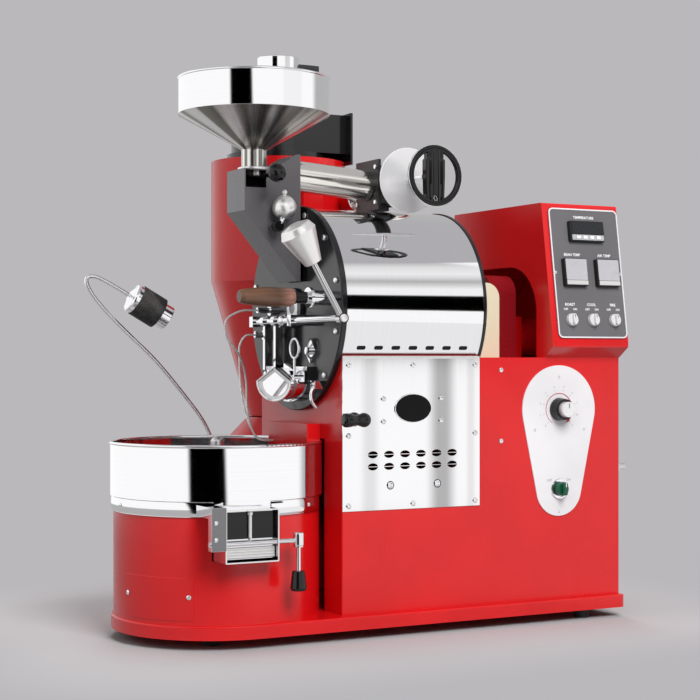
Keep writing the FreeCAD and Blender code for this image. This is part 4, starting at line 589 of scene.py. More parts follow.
def outwards(centre: Pair, reach: float, degrees: float, z: float) -> Plane:
    """A place on an upright cylinder, facing away from its axis."""
    angle = math.radians(degrees)
    out = (math.cos(angle), math.sin(angle), 0.0)
    spot = (centre[0] + reach * out[0], centre[1] + reach * out[1], z)
    return along_line(spot, out, (0.0, 0.0, 1.0))


def spun(place: Plane, angle: float) -> Plane:
    """The place turned about its out direction so that its across points at the angle."""
    across, up, _ = place.axes()
    turned = math.cos(angle) * across + math.sin(angle) * up
    risen = -math.sin(angle) * across + math.cos(angle) * up
    return Plane(place.origin, tuple(turned), tuple(risen))


def spokes(start: float, step: float, count: int) -> List[Point]:
    """Evenly spaced directions from a first number of degrees, as (radians, cos, sin)."""
    angles = [math.radians(start + step * number) for number in range(count)]
    return [(angle, math.cos(angle), math.sin(angle)) for angle in angles]


def outline(*parts: Union[Pair, Array]) -> Array:
    """Join single points and rows of points into one line of points."""
    return np.vstack([np.atleast_2d(np.asarray(part, float)) for part in parts])


def rod(radius: float, low: float, high: float) -> Array:
    """Profile of a plain round bar."""
    return outline((0.0, low), (radius, low), (radius, high), (0.0, high))


def nut(radius: float, height: float, chamfer: float) -> Array:
    """Profile of a nut or bolt head; turned in six steps it is a hexagon."""
    return outline((0.0, 0.0), (radius, 0.0), (radius, height - chamfer), (radius - chamfer, height),
                   (0.0, height))


def arc(centre: Pair, radius: float, start: float, end: float, steps: int) -> Array:
    """Points on a circle arc: centre + radius × (cos, sin) of evenly spaced degrees."""
    turn = np.radians(np.linspace(start, end, steps + 1))
    return np.stack([centre[0] + radius * np.cos(turn), centre[1] + radius * np.sin(turn)], 1)


def rounded(width: float, height: float, radius: float, steps: int = 5) -> Array:
    """Outline of a rectangle with round corners: four quarter arcs, anticlockwise."""
    half_x, half_y = width / 2 - radius, height / 2 - radius
    places = ((half_x, half_y), (-half_x, half_y), (-half_x, -half_y), (half_x, -half_y))
    return np.vstack([arc(place, radius, 90.0 * k, 90.0 * k + 90.0, steps)
                      for k, place in enumerate(places)])


def smooth_route(points: Sequence[Point], rounds: int = 5) -> Array:
    """Cut corners at a quarter and three quarters of every run, over and over.

    The limit of this is the quadratic B-spline of the points, with its ends kept.
    """
    route = np.asarray(points, float)
    for _ in range(rounds):
        low = 0.75 * route[:-1] + 0.25 * route[1:]
        high = 0.25 * route[:-1] + 0.75 * route[1:]
        inner = np.stack([low, high], 1).reshape(-1, 3)
        route = np.vstack([route[:1], inner[1:-1], route[-1:]])
    return route


def even_route(route: Array, step: float) -> Array:
    """The same line with its points spaced evenly along its length."""
    runs = np.linalg.norm(np.diff(route, axis=0), axis=1)
    length = np.concatenate([[0.0], np.cumsum(runs)])
    places = np.linspace(0.0, length[-1], max(2, int(length[-1] / step)))
    return np.stack([np.interp(places, length, route[:, k]) for k in range(3)], 1)


# ------------------------------------------------------------------ surfaces
WELD_DISTANCE = 0.002
SHARP_ANGLE = 38.0
LETTER_DEPTH = 0.15
LETTER_BOLDNESS = 0.018


def supported(profile: Array, near: float = 0.25) -> Array:
    """Add a point close to both ends of every long run, so that flats stay flat when smoothed."""
    points = np.asarray(profile, float)
    step = np.diff(points, axis=0)
    length = np.linalg.norm(step, axis=1)
    share = np.where(length > 6.0 * near, near / np.maximum(length, 1e-9), 0.5)[:, None]
    rows = np.stack([points[:-1], points[:-1] + share * step, points[1:] - share * step], 1)
    return np.vstack([rows.reshape(-1, 2), points[-1:]])


def lathe(place: Plane, profile: Array, steps: int) -> Array:
    """Turn a profile of (radius, out) about the place's out direction.

    A point is (radius × cos, radius × sin, out).
    """
    turn = np.radians(np.linspace(0.0, 360.0, steps + 1))[:-1]
    radius, out = supported(profile).T
    grid = np.stack([np.outer(radius, np.cos(turn)), np.outer(radius, np.sin(turn)),
                     np.outer(out, np.ones_like(turn))], -1)
    return place.carry(grid)


def layers(place: Plane, outlines: Sequence[Array], heights: Sequence[float]) -> Array:
    """Stack outlines with equal point counts at their heights along the out direction."""
    rows = [np.column_stack([line, np.full(len(line), height)])
            for line, height in zip(outlines, heights)]
    return place.carry(np.stack(rows))


def quads(down_count: int, over_count: int, loop: bool = False) -> List[List[int]]:
    """Faces of a grid of points, last column to the first and, with loop, last row to the first."""
    down = np.arange(down_count if loop else down_count - 1)
    i, j = (part.ravel() for part in np.meshgrid(down, np.arange(over_count), indexing="ij"))
    i_next, j_next = (i + 1) % down_count, (j + 1) % over_count
    return np.stack([i * over_count + j, i * over_count + j_next,
                     i_next * over_count + j_next, i_next * over_count + j], 1).tolist()


def linked(name: str, data: Optional[bpy.types.ID]) -> bpy.types.Object:
    """A new object in the scene."""
    made = bpy.data.objects.new(name, data)
    bpy.context.scene.collection.objects.link(made)
    return made


def plate(place: Plane, width: float, height: float, radius: float, low: float, high: float,
          bevel: float) -> Array:
    """Rows of a rounded plate from low to high whose top edge is bevelled."""
    insets = (0.0, 0.0, 0.0, 0.0, 0.3 * bevel, bevel, bevel + 0.2)
    heights = (low, low + 0.01, low + 0.1, high - bevel, high - 0.3 * bevel, high, high)
    outlines = [rounded(width - 2 * i, height - 2 * i, max(radius - i, 0.05)) for i in insets]
    return layers(place, outlines, heights)


def rim_rows(place: Plane, width: float, height: float, radius: float, thickness: float,
             low: float, high: float) -> Array:
    """Rows of a closed frame: outer wall up, across the top, inner wall down."""
    outer = rounded(width, height, radius)
    inner = rounded(width - 2 * thickness, height - 2 * thickness, max(radius - thickness, 0.05))
    soft = min(0.25 * thickness, 0.25 * (high - low))
    crown = rounded(width - 2 * soft, height - 2 * soft, max(radius - soft, 0.05))
    return layers(place, [outer, outer, crown, inner, inner], [low, high - soft, high, high, low])


def pipe(route: Array, radius: Union[float, Array], sides: int,
         side: Point = (0.0, 1.0, 0.0)) -> Array:
    """Carry a circle along a route: point = route + radius × (cos × a + sin × b).

    a is the fixed side direction less its part along the route, b is tangent × a.
    """
    tangent = np.gradient(route, axis=0)
    tangent = tangent / np.linalg.norm(tangent, axis=1)[:, None]
    first = np.asarray(side, float) - (tangent @ np.asarray(side, float))[:, None] * tangent
    first = first / np.linalg.norm(first, axis=1)[:, None]
    second = np.cross(tangent, first)
    turn = np.linspace(0.0, 2 * np.pi, sides, endpoint=False)
    width = np.broadcast_to(np.asarray(radius, float), (len(route),))[:, None, None]
    ring = np.cos(turn)[None, :, None] * first[:, None] + np.sin(turn)[None, :, None] * second[:, None]
    return route[:, None] + width * ring


def screw_rows(place: Plane, radius: float, height: float, recess: float = 0.45) -> Array:
    """Pan-head screw on a polar grid.

    Height = h × (1 - 0.45 ρ⁴) less the cross recess, which is cut where the smaller of |u| and |v|
    is under 0.13 and ρ is under 0.6; all three are shares of the radius.
    """
    rho = np.array([0.0, 0.08, 0.16, 0.26, 0.4, 0.56, 0.62, 0.75, 0.88, 0.96, 1.0, 1.0, 0.0])
    turn = np.linspace(0.0, 2 * np.pi, 32, endpoint=False)
    u, v = np.outer(rho, np.cos(turn)), np.outer(rho, np.sin(turn))
    cross = (np.minimum(abs(u), abs(v)) < 0.13) & (rho[:, None] < 0.6)
    top = height * (1.0 - 0.45 * rho[:, None] ** 4) - recess * height * cross
    top[-2:] = 0.0
    return place.carry(np.stack([radius * u, radius * v, top], -1))


class Sheetwork:
    """Surfaces in millimetres, each with its finish, gathered into one mesh object."""

    def __init__(self, name: str) -> None:
        """Start empty."""
        self.name = name
        self.points: List[Array] = []
        self.faces: List[List[int]] = []
        self.marks: List[int] = []
        self.finishes: List[Finish] = []
        self.count = 0

    def raw(self, points: Array, faces: List[List[int]], finish: Finish) -> None:
        """Add points and faces as they are and note the faces' finish."""
        self.points.append(np.asarray(points, float).reshape(-1, 3))
        self.faces.extend([[index + self.count for index in face] for face in faces])
        self.count += len(self.points[-1])
        if finish not in self.finishes:
            self.finishes.append(finish)
        self.marks.extend([self.finishes.index(finish)] * len(faces))

    def sheet(self, rows: Array, finish: Finish, loop: bool = False) -> None:
        """Add a grid of quads whose last column meets the first.

        Args:
            rows: places as rows × columns × 3.
            finish: its material.
            loop: whether the last row meets the first, as on a ring; if it doesn't, the first and
                last rows are closed by a fan to their middles.
        """
        if not loop:
            low = np.broadcast_to(rows[0].mean(0), rows[0].shape)
            high = np.broadcast_to(rows[-1].mean(0), rows[-1].shape)
            rows = np.concatenate([low[None], rows, high[None]])
        self.raw(rows, quads(*rows.shape[:2], loop=loop), finish)

    def turned(self, place: Plane, profile: Array, finish: Finish, steps: int,
               loop: bool = False) -> None:
        """Add a profile turned about the place's out direction."""
        self.sheet(lathe(place, profile, steps), finish, loop)

    def slab(self, place: Plane, finish: Finish, *sizes: float) -> None:
        """Add a rounded plate: width, height, corner radius, low, high and bevel."""
        self.sheet(plate(place, *sizes), finish)

    def screws(self, places: Iterable[Plane], *sizes: float) -> None:
        """Add bright cross-recess screws: radius, height and, where it isn't usual, the recess."""
        for place in places:
            self.sheet(screw_rows(place, *sizes), CHROME)

    def lettering(self, text: str, place: Plane, size: float, finish: Finish) -> None:
        """Raised characters, centred on the place, of the given height in millimetres."""
        curve = bpy.data.curves.new("letters", "FONT")
        curve.body = text
        curve.size = size
        curve.extrude = LETTER_DEPTH
        curve.offset = LETTER_BOLDNESS * size
        curve.resolution_u = 2
        curve.align_x, curve.align_y = "CENTER", "CENTER"
        holder = bpy.data.objects.new("letters", curve)
        mesh = bpy.data.meshes.new_from_object(holder)
        flat = np.empty(len(mesh.vertices) * 3)
        mesh.vertices.foreach_get("co", flat)
        faces = [list(face.vertices) for face in mesh.polygons]
        self.raw(place.carry(flat.reshape(-1, 3)), faces, finish)
        bpy.data.objects.remove(holder)
        bpy.data.curves.remove(curve)
        bpy.data.meshes.remove(mesh)

    def build(self, body: str, slot: str, *replaced: str) -> None:
        """Make the object: merge doubles, turn faces outwards, shade smooth with sharp edges."""
        mesh = bpy.data.meshes.new(self.name)
        mesh.from_pydata(np.vstack(self.points) * MM, [], self.faces)
        mesh.polygons.foreach_set("material_index", np.array(self.marks, dtype=np.int32))
        cleaner = bmesh.new()
        cleaner.from_mesh(mesh)
        bmesh.ops.remove_doubles(cleaner, verts=cleaner.verts, dist=WELD_DISTANCE * MM)
        bmesh.ops.dissolve_degenerate(cleaner, edges=cleaner.edges, dist=WELD_DISTANCE / 2 * MM)
        bmesh.ops.recalc_face_normals(cleaner, faces=cleaner.faces)
        cleaner.to_mesh(mesh)
        cleaner.free()
        for finish in self.finishes:
            mesh.materials.append(finish.material())
        mesh.shade_smooth()
        mesh.set_sharp_from_angle(angle=math.radians(SHARP_ANGLE))
        made = linked(self.name, mesh)
        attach(made, body)
        if replaced:
            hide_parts(*replaced)
        LOG.info("%s: %d faces on %s", self.name, len(mesh.polygons), body)


# ------------------------------------------------------------------ sub-assemblies
SIDE_FACE = -254.5
COVER_FACE = -253.0
TEAR_FACE = -255.0
CENTRE_Y = -100.0
DRUM_Z = 536.0
PAN_CENTRE: Pair = (-276.0, CENTRE_Y)


@dataclass
class CabinetDress:
    """Screws, blank badge and dial markings on the cabinet's near side, and its access panel."""

    badge: Pair = (6.5, 370.0)
    badge_half: Pair = (34.0, 23.0)
    knob: Pair = (297.0, 364.0)
    selector: Pair = (297.0, 227.0)
    dial_radius: float = 27.2
    stroke_radius: float = 33.0
    number_radius: float = 39.5
    lever: Pair = (-108.0, 354.0)
    base_radius: float = 168.3
    panel_turn: Pair = (-170.5, -125.5)
    panel_screws: Pair = (-168.4, -128.0)

    def build(self) -> None:
        """Make the pieces."""
        self._screws()
        self._badge()
        self._dial()
        self._knob_cap()
        self._selector()
        self._lever()
        self._access_panel()

    def _screws(self) -> None:
        """Cross-recess heads at the corners of the side plate, seam and teardrop."""
        work = Sheetwork("side_screws")
        edge = [(x, z) for x in (-113.0, 6.5, 126.6) for z in (214.0, 327.0, 441.0)]
        edge.remove((6.5, 327.0))
        edge += [(x, z) for x in (-49.0, 60.0) for z in (349.0, 386.0)]
        seam = ((179.0, 312.0), (179.0, 432.0))
        teardrop = ((297.0, 419.4), (246.7, 329.0), (349.0, 329.0), (297.0, 188.5))
        sights = ((-36.0, 245.0), (53.0, 245.0))
        rows = ((edge, SIDE_FACE, 4.4, 2.6, 0.3), (seam, COVER_FACE, 4.2, 2.6, 0.3),
                (teardrop, TEAR_FACE, 2.4, 1.2), (sights, COVER_FACE - 0.1, 5.8, 3.0, 0.2))
        for spots, face, *sizes in rows:
            work.screws([facing_near(x, face, z) for x, z in spots], *sizes)
        strip = facing_near(5.75, COVER_FACE + 0.3, 453.4)
        work.slab(strip, SATIN_BRIGHT, 259.0, 4.4, 0.6, 0.0, 2.4, 0.4)
        work.build("machine", "stainless", "cover_screws")

    def _badge(self) -> None:
        """A blank black oval in a bright frame; the oval is a circle stretched across."""
        place = facing_near(self.badge[0], SIDE_FACE, self.badge[1])
        oval = arc((0.0, 0.0), 1.0, 0.0, 355.0, 71) * np.array(self.badge_half)
        work = Sheetwork("blank_badge")
        face = [oval * (1.0 - inset / 28.0) for inset in (0.0, 0.0, 0.3, 1.0, 1.4)]
        work.sheet(layers(place, face, (0.0, 1.0, 1.3, 1.5, 1.5)), BADGE_BLACK)
        rim = [oval * share for share in (1.03, 1.03, 1.015, 0.99, 0.98, 0.98)]
        work.sheet(layers(place, rim, (0.0, 1.3, 1.8, 1.8, 1.5, 0.0)), CHROME, loop=True)
        work.build("machine", "black_paint")

    def _dial(self) -> None:
        """A thin red arc that thickens to an arrow, grey strokes and numerals, OFF and ON."""
        work = Sheetwork("dial_markings")
        place = facing_near(self.knob[0], TEAR_FACE, self.knob[1])
        turn = np.radians(np.linspace(238.0, -58.0, 97))
        half = np.interp(np.linspace(0.0, 1.0, 97), [0.0, 0.6, 0.93, 0.95, 1.0],
                         [0.9, 1.5, 2.4, 6.0, 0.3]) / 2
        inner, outer = self.dial_radius - half, self.dial_radius + half
        edges = ((inner, 0.0), (inner, 0.16), (outer, 0.16), (outer, 0.0))
        bands = [np.stack([radius * np.cos(turn), radius * np.sin(turn), np.full_like(turn, out)], -1)
                 for radius, out in edges]
        work.sheet(place.carry(np.stack(bands, 1)), RED_MARK)
        for number, (angle, x, z) in enumerate(spokes(225.0, -30.0, 10)):
            stroke = place.moved(self.stroke_radius * x, self.stroke_radius * z)
            work.slab(spun(stroke, angle), PRINT_GREY, 4.0, 0.7, 0.2, 0.0, 0.14, 0.05)
            label = place.moved(self.number_radius * x, self.number_radius * z)
            work.lettering(str(number), label, 5.0, PRINT_GREY)
        for text, across in (("OFF", -20.0), ("ON", 20.0)):
            label = facing_near(self.selector[0] + across, TEAR_FACE, self.selector[1] + 15.0)
            work.lettering(text, label, 6.0, PRINT_GREY)
        work.build("machine", "white_paint")

    def _knob_cap(self) -> None:
        """The gas knob's bright cap with its pointer stroke."""
        cap = Sheetwork("gas_knob_cap")
        place = facing_near(self.knob[0], TEAR_FACE, self.knob[1])
        profile = outline((0.0, 17.8), (13.2, 17.8), arc((11.8, 29.0), 1.4, 0.0, 90.0, 5), (0.0, 30.5))
        cap.turned(place, profile, SILVER_KNOB, 64)
        cap.slab(place.moved(up=6.5, out=30.4), PRINT_BLACK, 1.4, 8.0, 0.4, 0.0, 0.2, 0.05)
        cap.build("gas_knob", "aluminium")

    def _selector(self) -> None:
        """The green switch knob on its bright ring."""
        place = facing_near(self.selector[0], TEAR_FACE, self.selector[1])
        ring = Sheetwork("selector_ring")
        profile = outline((0.0, 0.0), (17.4, 0.0), (17.4, 2.0), (16.6, 2.8), (14.6, 2.8), (14.4, 0.6),
                          (0.0, 0.6))
        ring.turned(place, profile, CHROME, 64)
        ring.build("machine", "chrome")
        work = Sheetwork("selector_knob")
        knob = outline((0.0, 0.9), (12.4, 0.9), (12.2, 5.0), (11.4, 12.0),
                       arc((9.8, 12.2), 1.6, 0.0, 90.0, 4), (0.0, 13.8))
        work.turned(place, knob, GREEN, 56)
        work.slab(place.moved(up=1.0, out=13.4), GREEN, 8.4, 23.0, 3.6, 0.0, 8.4, 2.2)
        work.slab(place.moved(up=8.0, out=21.7), PRINT_WHITE, 1.4, 8.0, 0.5, 0.0, 0.2, 0.05)
        work.turned(place, rod(4.0, -16.0, 1.2), DARK_STEEL, 32)
        work.build("green_selector", "green_plastic", "green_selector")

    def _lever(self) -> None:
        """The turned airflow handle on its bright stem."""
        work = Sheetwork("airflow_grip")
        x, z = self.lever
        profile = outline((0.0, 0.0), (6.4, 0.2), (9.4, 1.4), (11.0, 3.6), (11.5, 7.0), (11.0, 13.0),
                          (9.6, 19.0), (8.6, 23.5), (8.8, 27.5), (10.2, 31.5), (11.5, 35.5),
                          (11.7, 39.0), (10.6, 43.0), (8.2, 46.4), (4.6, 48.6), (0.0, 49.2))
        given, fine = np.linspace(0.0, 1.0, len(profile)), np.linspace(0.0, 1.0, 61)
        smooth = np.stack([np.interp(fine, given, profile[:, k]) for k in range(2)], 1)
        work.turned(facing_rear(x - 24.0, -271.0, z - 1.3), smooth, BAKELITE, 56)
        work.turned(facing_near(x, -254.0, z), rod(5.0, -24.0, 17.0), CHROME, 36)
        work.slab(facing_near(x + 10.0, -241.0, z), DARK_STEEL, 20.0, 8.0, 1.0, 0.0, 6.0, 0.6)
        work.build("airflow_lever", "black_plastic", "airflow_lever")

    def _access_panel(self) -> None:
        """A curved cover on the pan's base: cylinder radius + 0.9, between two compass angles."""
        work = Sheetwork("access_panel")
        turn = np.radians(np.linspace(*self.panel_turn, 37))
        heights = np.array([46.0, 46.0, 46.5, 46.9, 112.1, 112.5, 113.0, 113.0])
        outs = np.array([0.1, 0.6, 0.9, 0.9, 0.9, 0.9, 0.6, 0.1])
        radius = (self.base_radius + outs)[:, None]
        rows = np.stack([PAN_CENTRE[0] + radius * np.cos(turn), PAN_CENTRE[1] + radius * np.sin(turn),
                         np.repeat(heights[:, None], len(turn), 1)], -1)
        work.sheet(np.swapaxes(rows, 0, 1), RED)
        work.screws([outwards(PAN_CENTRE, self.base_radius + 1.2, degrees, 83.0)
                     for degrees in self.panel_screws], 3.8, 2.2)
        work.build("machine", "red_paint")


@dataclass
class PanelDress:
    """Frame, meter, two controllers and labels on the slanted control panel."""

    lip: Point = (0.0, -279.0, 480.5)
    rise: Point = (0.0, 35.6 / 241.65, 239.0 / 241.65)
    face: float = 2.5
    middle: Pair = (351.75, 119.3)
    meter: Pair = (352.0, 192.0)
    controllers: Tuple[Pair, ...] = ((321.0, 119.5), (389.0, 119.5))
    switches: Point = (307.8, 353.0, 398.2)
    switch_rise: float = 37.0
    word_size: float = 6.6
    small_word_size: float = 5.2

    def place(self, across: float, up: float, out: float = 0.0) -> Plane:
        """A place on the panel."""
        return Plane(self.lip, (1.0, 0.0, 0.0), self.rise).moved(across, up, out)

    def build(self) -> None:
        """Make the pieces."""
        self._frame()
        work = Sheetwork("instruments")
        self._meter(work)
        for spot in self.controllers:
            self._controller(work, *spot)
        work.build("machine", "matte_plastic", "panel_instruments")
        self._labels()
        for number, across in enumerate(self.switches, 1):
            self._switch("switch_%d" % number, across)

    def _frame(self) -> None:
        """A thin bright edge strip and the two screws at half height."""
        work = Sheetwork("panel_edge_strip")
        work.sheet(rim_rows(self.place(*self.middle), 145.5, 227.4, 9.0, 2.4, self.face, 3.4),
                   EDGE_SILVER, loop=True)
        work.screws([self.place(across, 119.5, self.face) for across in (283.6, 420.0)], 3.1, 2.0)
        work.build("machine", "chrome")

    def _meter(self, work: Sheetwork) -> None:
        """Black housing, dark window above, silver strip with four keys below."""
        place = self.place(*self.meter, self.face)
        work.slab(place, MATT_BLACK, 72.0, 36.0, 2.0, 0.0, 8.0, 0.8)
        work.slab(place.moved(0.8, 5.0, 8.0), WINDOW, 66.0, 20.0, 1.0, -0.5, 0.5, 0.2)
        work.slab(place.moved(0.8, -11.2, 8.0), SATIN, 67.0, 9.6, 1.0, -0.5, 0.8, 0.3)
        for step in range(4):
            key = place.moved(-19.5 + 14.0 * step, -11.2, 8.8)
            work.slab(key, PRINT_WHITE, 8.0, 5.0, 1.2, -0.3, 1.2, 0.5)

    def _controller(self, work: Sheetwork, across: float, up: float) -> None:
        """Black housing with an even pale face and a bright lower bar."""
        place = self.place(across, up, self.face)
        work.slab(place, MATT_BLACK, 48.0, 48.0, 2.0, 0.0, 9.0, 0.8)
        work.slab(place.moved(0.8, 4.2, 9.0), GREY_PLASTIC, 44.0, 37.0, 1.2, -0.5, 0.6, 0.3)
        work.slab(place.moved(0.8, -18.6, 9.0), SATIN_BRIGHT, 44.0, 7.4, 1.0, -0.5, 1.0, 0.4)

    def _labels(self) -> None:
        """Short function words and OFF, ON in white."""
        work = Sheetwork("panel_labels")
        words = [("TEMPERATURE", 352.0, 217.4, self.word_size),
                 ("BEAN TEMP", 321.0, 151.0, self.word_size),
                 ("AIR TEMP", 389.0, 151.0, self.word_size)]
        for text, across in zip(("ROAST", "COOL", "FIRE"), self.switches):
            words += [(text, across, 63.8, self.word_size),
                      ("OFF", across - 9.4, 55.6, self.small_word_size),
                      ("ON", across + 10.0, 55.6, self.small_word_size)]
        for text, across, up, size in words:
            work.lettering(text, self.place(across, up, self.face), size, PRINT_WHITE)
        work.build("machine", "white_paint")

    def _switch(self, switch: str, across: float) -> None:
        """Turned head with a raised grip bar and a pointer stroke."""
        work = Sheetwork(switch.replace("switch", "switch_cap"))
        place = self.place(across, self.switch_rise, self.face)
        head = outline((0.0, 0.35), (10.6, 0.35), arc((10.6, 1.2), 0.7, -90.0, 0.0, 3),
                       arc((9.4, 6.0), 1.1, 0.0, 90.0, 5), (0.0, 7.1))
        work.turned(place, head, SILVER_KNOB, 48)
        work.slab(place.moved(out=6.8), SILVER_KNOB, 6.4, 19.0, 3.0, 0.0, 6.2, 1.2)
        work.slab(place.moved(up=5.4, out=12.9), PRINT_BLACK, 1.2, 6.0, 0.4, 0.0, 0.12, 0.04)
        work.build(switch, "aluminium", switch)


@dataclass
class ExhaustDress:
    """Bright tube, dial graduations and the damper's handwheel."""

    axis: Pair = (24.0, 748.0)
    tube_start: Point = (-142.2, CENTRE_Y, 759.0)
    tube_end: Point = (5.0, CENTRE_Y, 748.0)
    tube_radius: float = 26.0
    tube_wall: float = 1.5
    bend_x: float = 51.0
    bend_radius: float = 35.0
    flange_y: float = 55.0
    dial_face: float = -211.0
    wheel_y: float = -295.0
    wheel_radius: float = 45.0
    spoke_half: float = 43.0

    def build(self) -> None:
        """Make the pieces."""
        self._tubes()
        self._graduations()
        self._handwheel()

    def _tubes(self) -> None:
        """The rising front tube with its collar, and the elbow into the cyclone."""
        work = Sheetwork("exhaust_tubes")
        low, high = np.array(self.tube_start), np.array(self.tube_end)
        outer, inner = self.tube_radius, self.tube_radius - self.tube_wall
        self._hollow(work, low + np.linspace(0.0, 1.0, 24)[:, None] * (high - low), (0.0, 1.0, 0.0))
        collar = along_line(tuple(low + 0.012 * (high - low)), tuple(high - low))
        rows = outline((outer - 0.2, 0.0), (outer + 1.6, 0.3), (outer + 1.6, 5.0), (outer - 0.2, 5.6))
        work.turned(collar, rows, TUBE_STEEL, 72, loop=True)
        turn, bend, z = np.radians(np.linspace(0.0, 90.0, 19)), self.bend_radius, self.axis[1]
        curve = np.stack([self.bend_x + bend * np.sin(turn), CENTRE_Y + bend * (1.0 - np.cos(turn)),
                          np.full_like(turn, z)], 1)
        end_x = self.bend_x + bend
        straight = np.stack([np.full(8, end_x), np.linspace(CENTRE_Y + bend + 8.0, 60.0, 8),
                             np.full(8, z)], 1)
        self._hollow(work, outline((self.bend_x - 5.0, CENTRE_Y, z), curve, straight), (0.0, 0.0, 1.0))
        flange = Plane((end_x, self.flange_y, z), (1.0, 0.0, 0.0), (0.0, 0.0, -1.0))
        ring = outline((inner, 0.0), (35.0, 0.0), (36.0, 1.0), (36.0, 4.0), (35.0, 5.0), (inner, 5.0))
        work.turned(flange, ring, HOUSING, 72, loop=True)
        middle = facing_near(end_x, self.flange_y, z)
        work.screws([middle.moved(31.0 * x, 31.0 * up) for _, x, up in spokes(30.0, 60.0, 6)], 3.0, 2.2)
        work.build("machine", "stainless", "exhaust_duct")

    def _hollow(self, work: Sheetwork, route: Array, side: Point) -> None:
        """A pipe with a wall: its outside, then back along its inside, as one closed ring."""
        outside = pipe(route, self.tube_radius, 64, side)
        inside = pipe(route, self.tube_radius - self.tube_wall, 64, side)
        work.sheet(np.concatenate([outside, inside[::-1]]), TUBE_STEEL, loop=True)

    def _graduations(self) -> None:
        """Seven fine strokes in a short row left of the middle, and the flange's bolts."""
        work = Sheetwork("dial_graduations")
        place = facing_near(self.axis[0], self.dial_face, self.axis[1])
        for step, (angle, x, z) in enumerate(spokes(160.0, 6.0, 7)):
            reach = 5.0 if step % 3 == 0 else 3.0
            spot = place.moved((36.0 - reach / 2) * x, (36.0 - reach / 2) * z)
            work.slab(spun(spot, angle), PRINT_GREY, reach, 0.8, 0.2, 0.0, 0.14, 0.04)
        for z in (718.0, 778.0):
            for y in (-134.0, -66.0):
                work.turned(facing_front(5.0, y, z), nut(4.6, 4.2, 0.8), CHROME, 6)
        work.build("machine", "aluminium")

    def _handwheel(self) -> None:
        """Round rim, broad crowned spoke, bright hub and shaft, and the bolt near the rim."""
        work = Sheetwork("handwheel")
        place = facing_near(self.axis[0], self.wheel_y, self.axis[1])
        turn = np.radians(np.linspace(0.0, 360.0, 25)[:-1])
        rim = np.stack([self.wheel_radius + 5.4 * np.cos(turn), 4.8 * np.sin(turn)], 1)
        work.turned(place, rim, BAKELITE, 96, loop=True)
        bead = np.stack([self.wheel_radius + 5.0 + 0.9 * np.cos(turn), 1.5 + 1.3 * np.sin(turn)], 1)
        work.turned(place, bead, CHROME, 96, loop=True)
        work.sheet(place.carry(self._spoke()), BAKELITE)
        hub = outline((0.0, 0.0), (13.0, 0.0), (13.0, -3.0), (12.0, -4.0), (12.0, -17.0), (13.2, -18.0),
                      (13.2, -21.0), (12.2, -22.0), (5.0, -22.0), (5.0, -219.0), (0.0, -219.0))
        work.turned(place.moved(out=-1.0), hub, CHROME, 48)
        bolt = outline((0.0, -2.0), (5.4, -2.0), (5.4, 4.4), (4.6, 5.2), (2.6, 5.2), (2.2, 3.6),
                       (0.0, 3.6))
        spot = place.moved(up=-36.5)
        work.turned(spot, bolt, CHROME, 6)
        work.turned(spot, rod(7.2, 1.8, 3.2), CHROME, 36)
        work.turned(lying(self.axis[0], CENTRE_Y, self.axis[1]), rod(23.5, -0.75, 0.75), SATIN, 48)
        work.build("damper", "chrome", "damper_handwheel")

    def _spoke(self) -> Array:
        """A broad bar crowned as half an ellipse, with one deep groove and two shallow ones.

        A groove's depth falls off from its line as exp(-(distance / width)²).
        """
        along = np.linspace(-self.spoke_half, self.spoke_half, 41)
        half = np.interp(along, [-43.0, -36.0, 0.0, 26.0, 27.5, 43.0],
                         [14.0, 17.0, 18.2, 18.2, 15.4, 15.4])
        across = np.linspace(-1.0, 1.0, 21)
        u = half[:, None] * across[None]
        v = np.repeat(along[:, None], len(across), 1)
        crown = 1.5 + 3.0 * (1.0 - across[None] ** 2) ** 0.5 * np.ones_like(v)
        groove = 1.6 * np.exp(-((u / 2.0) ** 2)) + 1.0 * np.exp(-(((np.abs(u) - 8.5) / 1.6) ** 2))
        front = np.stack([u, v, crown - groove], -1)
        back = np.stack([u, v, np.full_like(u, -9.0)], -1)
        return np.concatenate([front, back[:, ::-1]], 1)


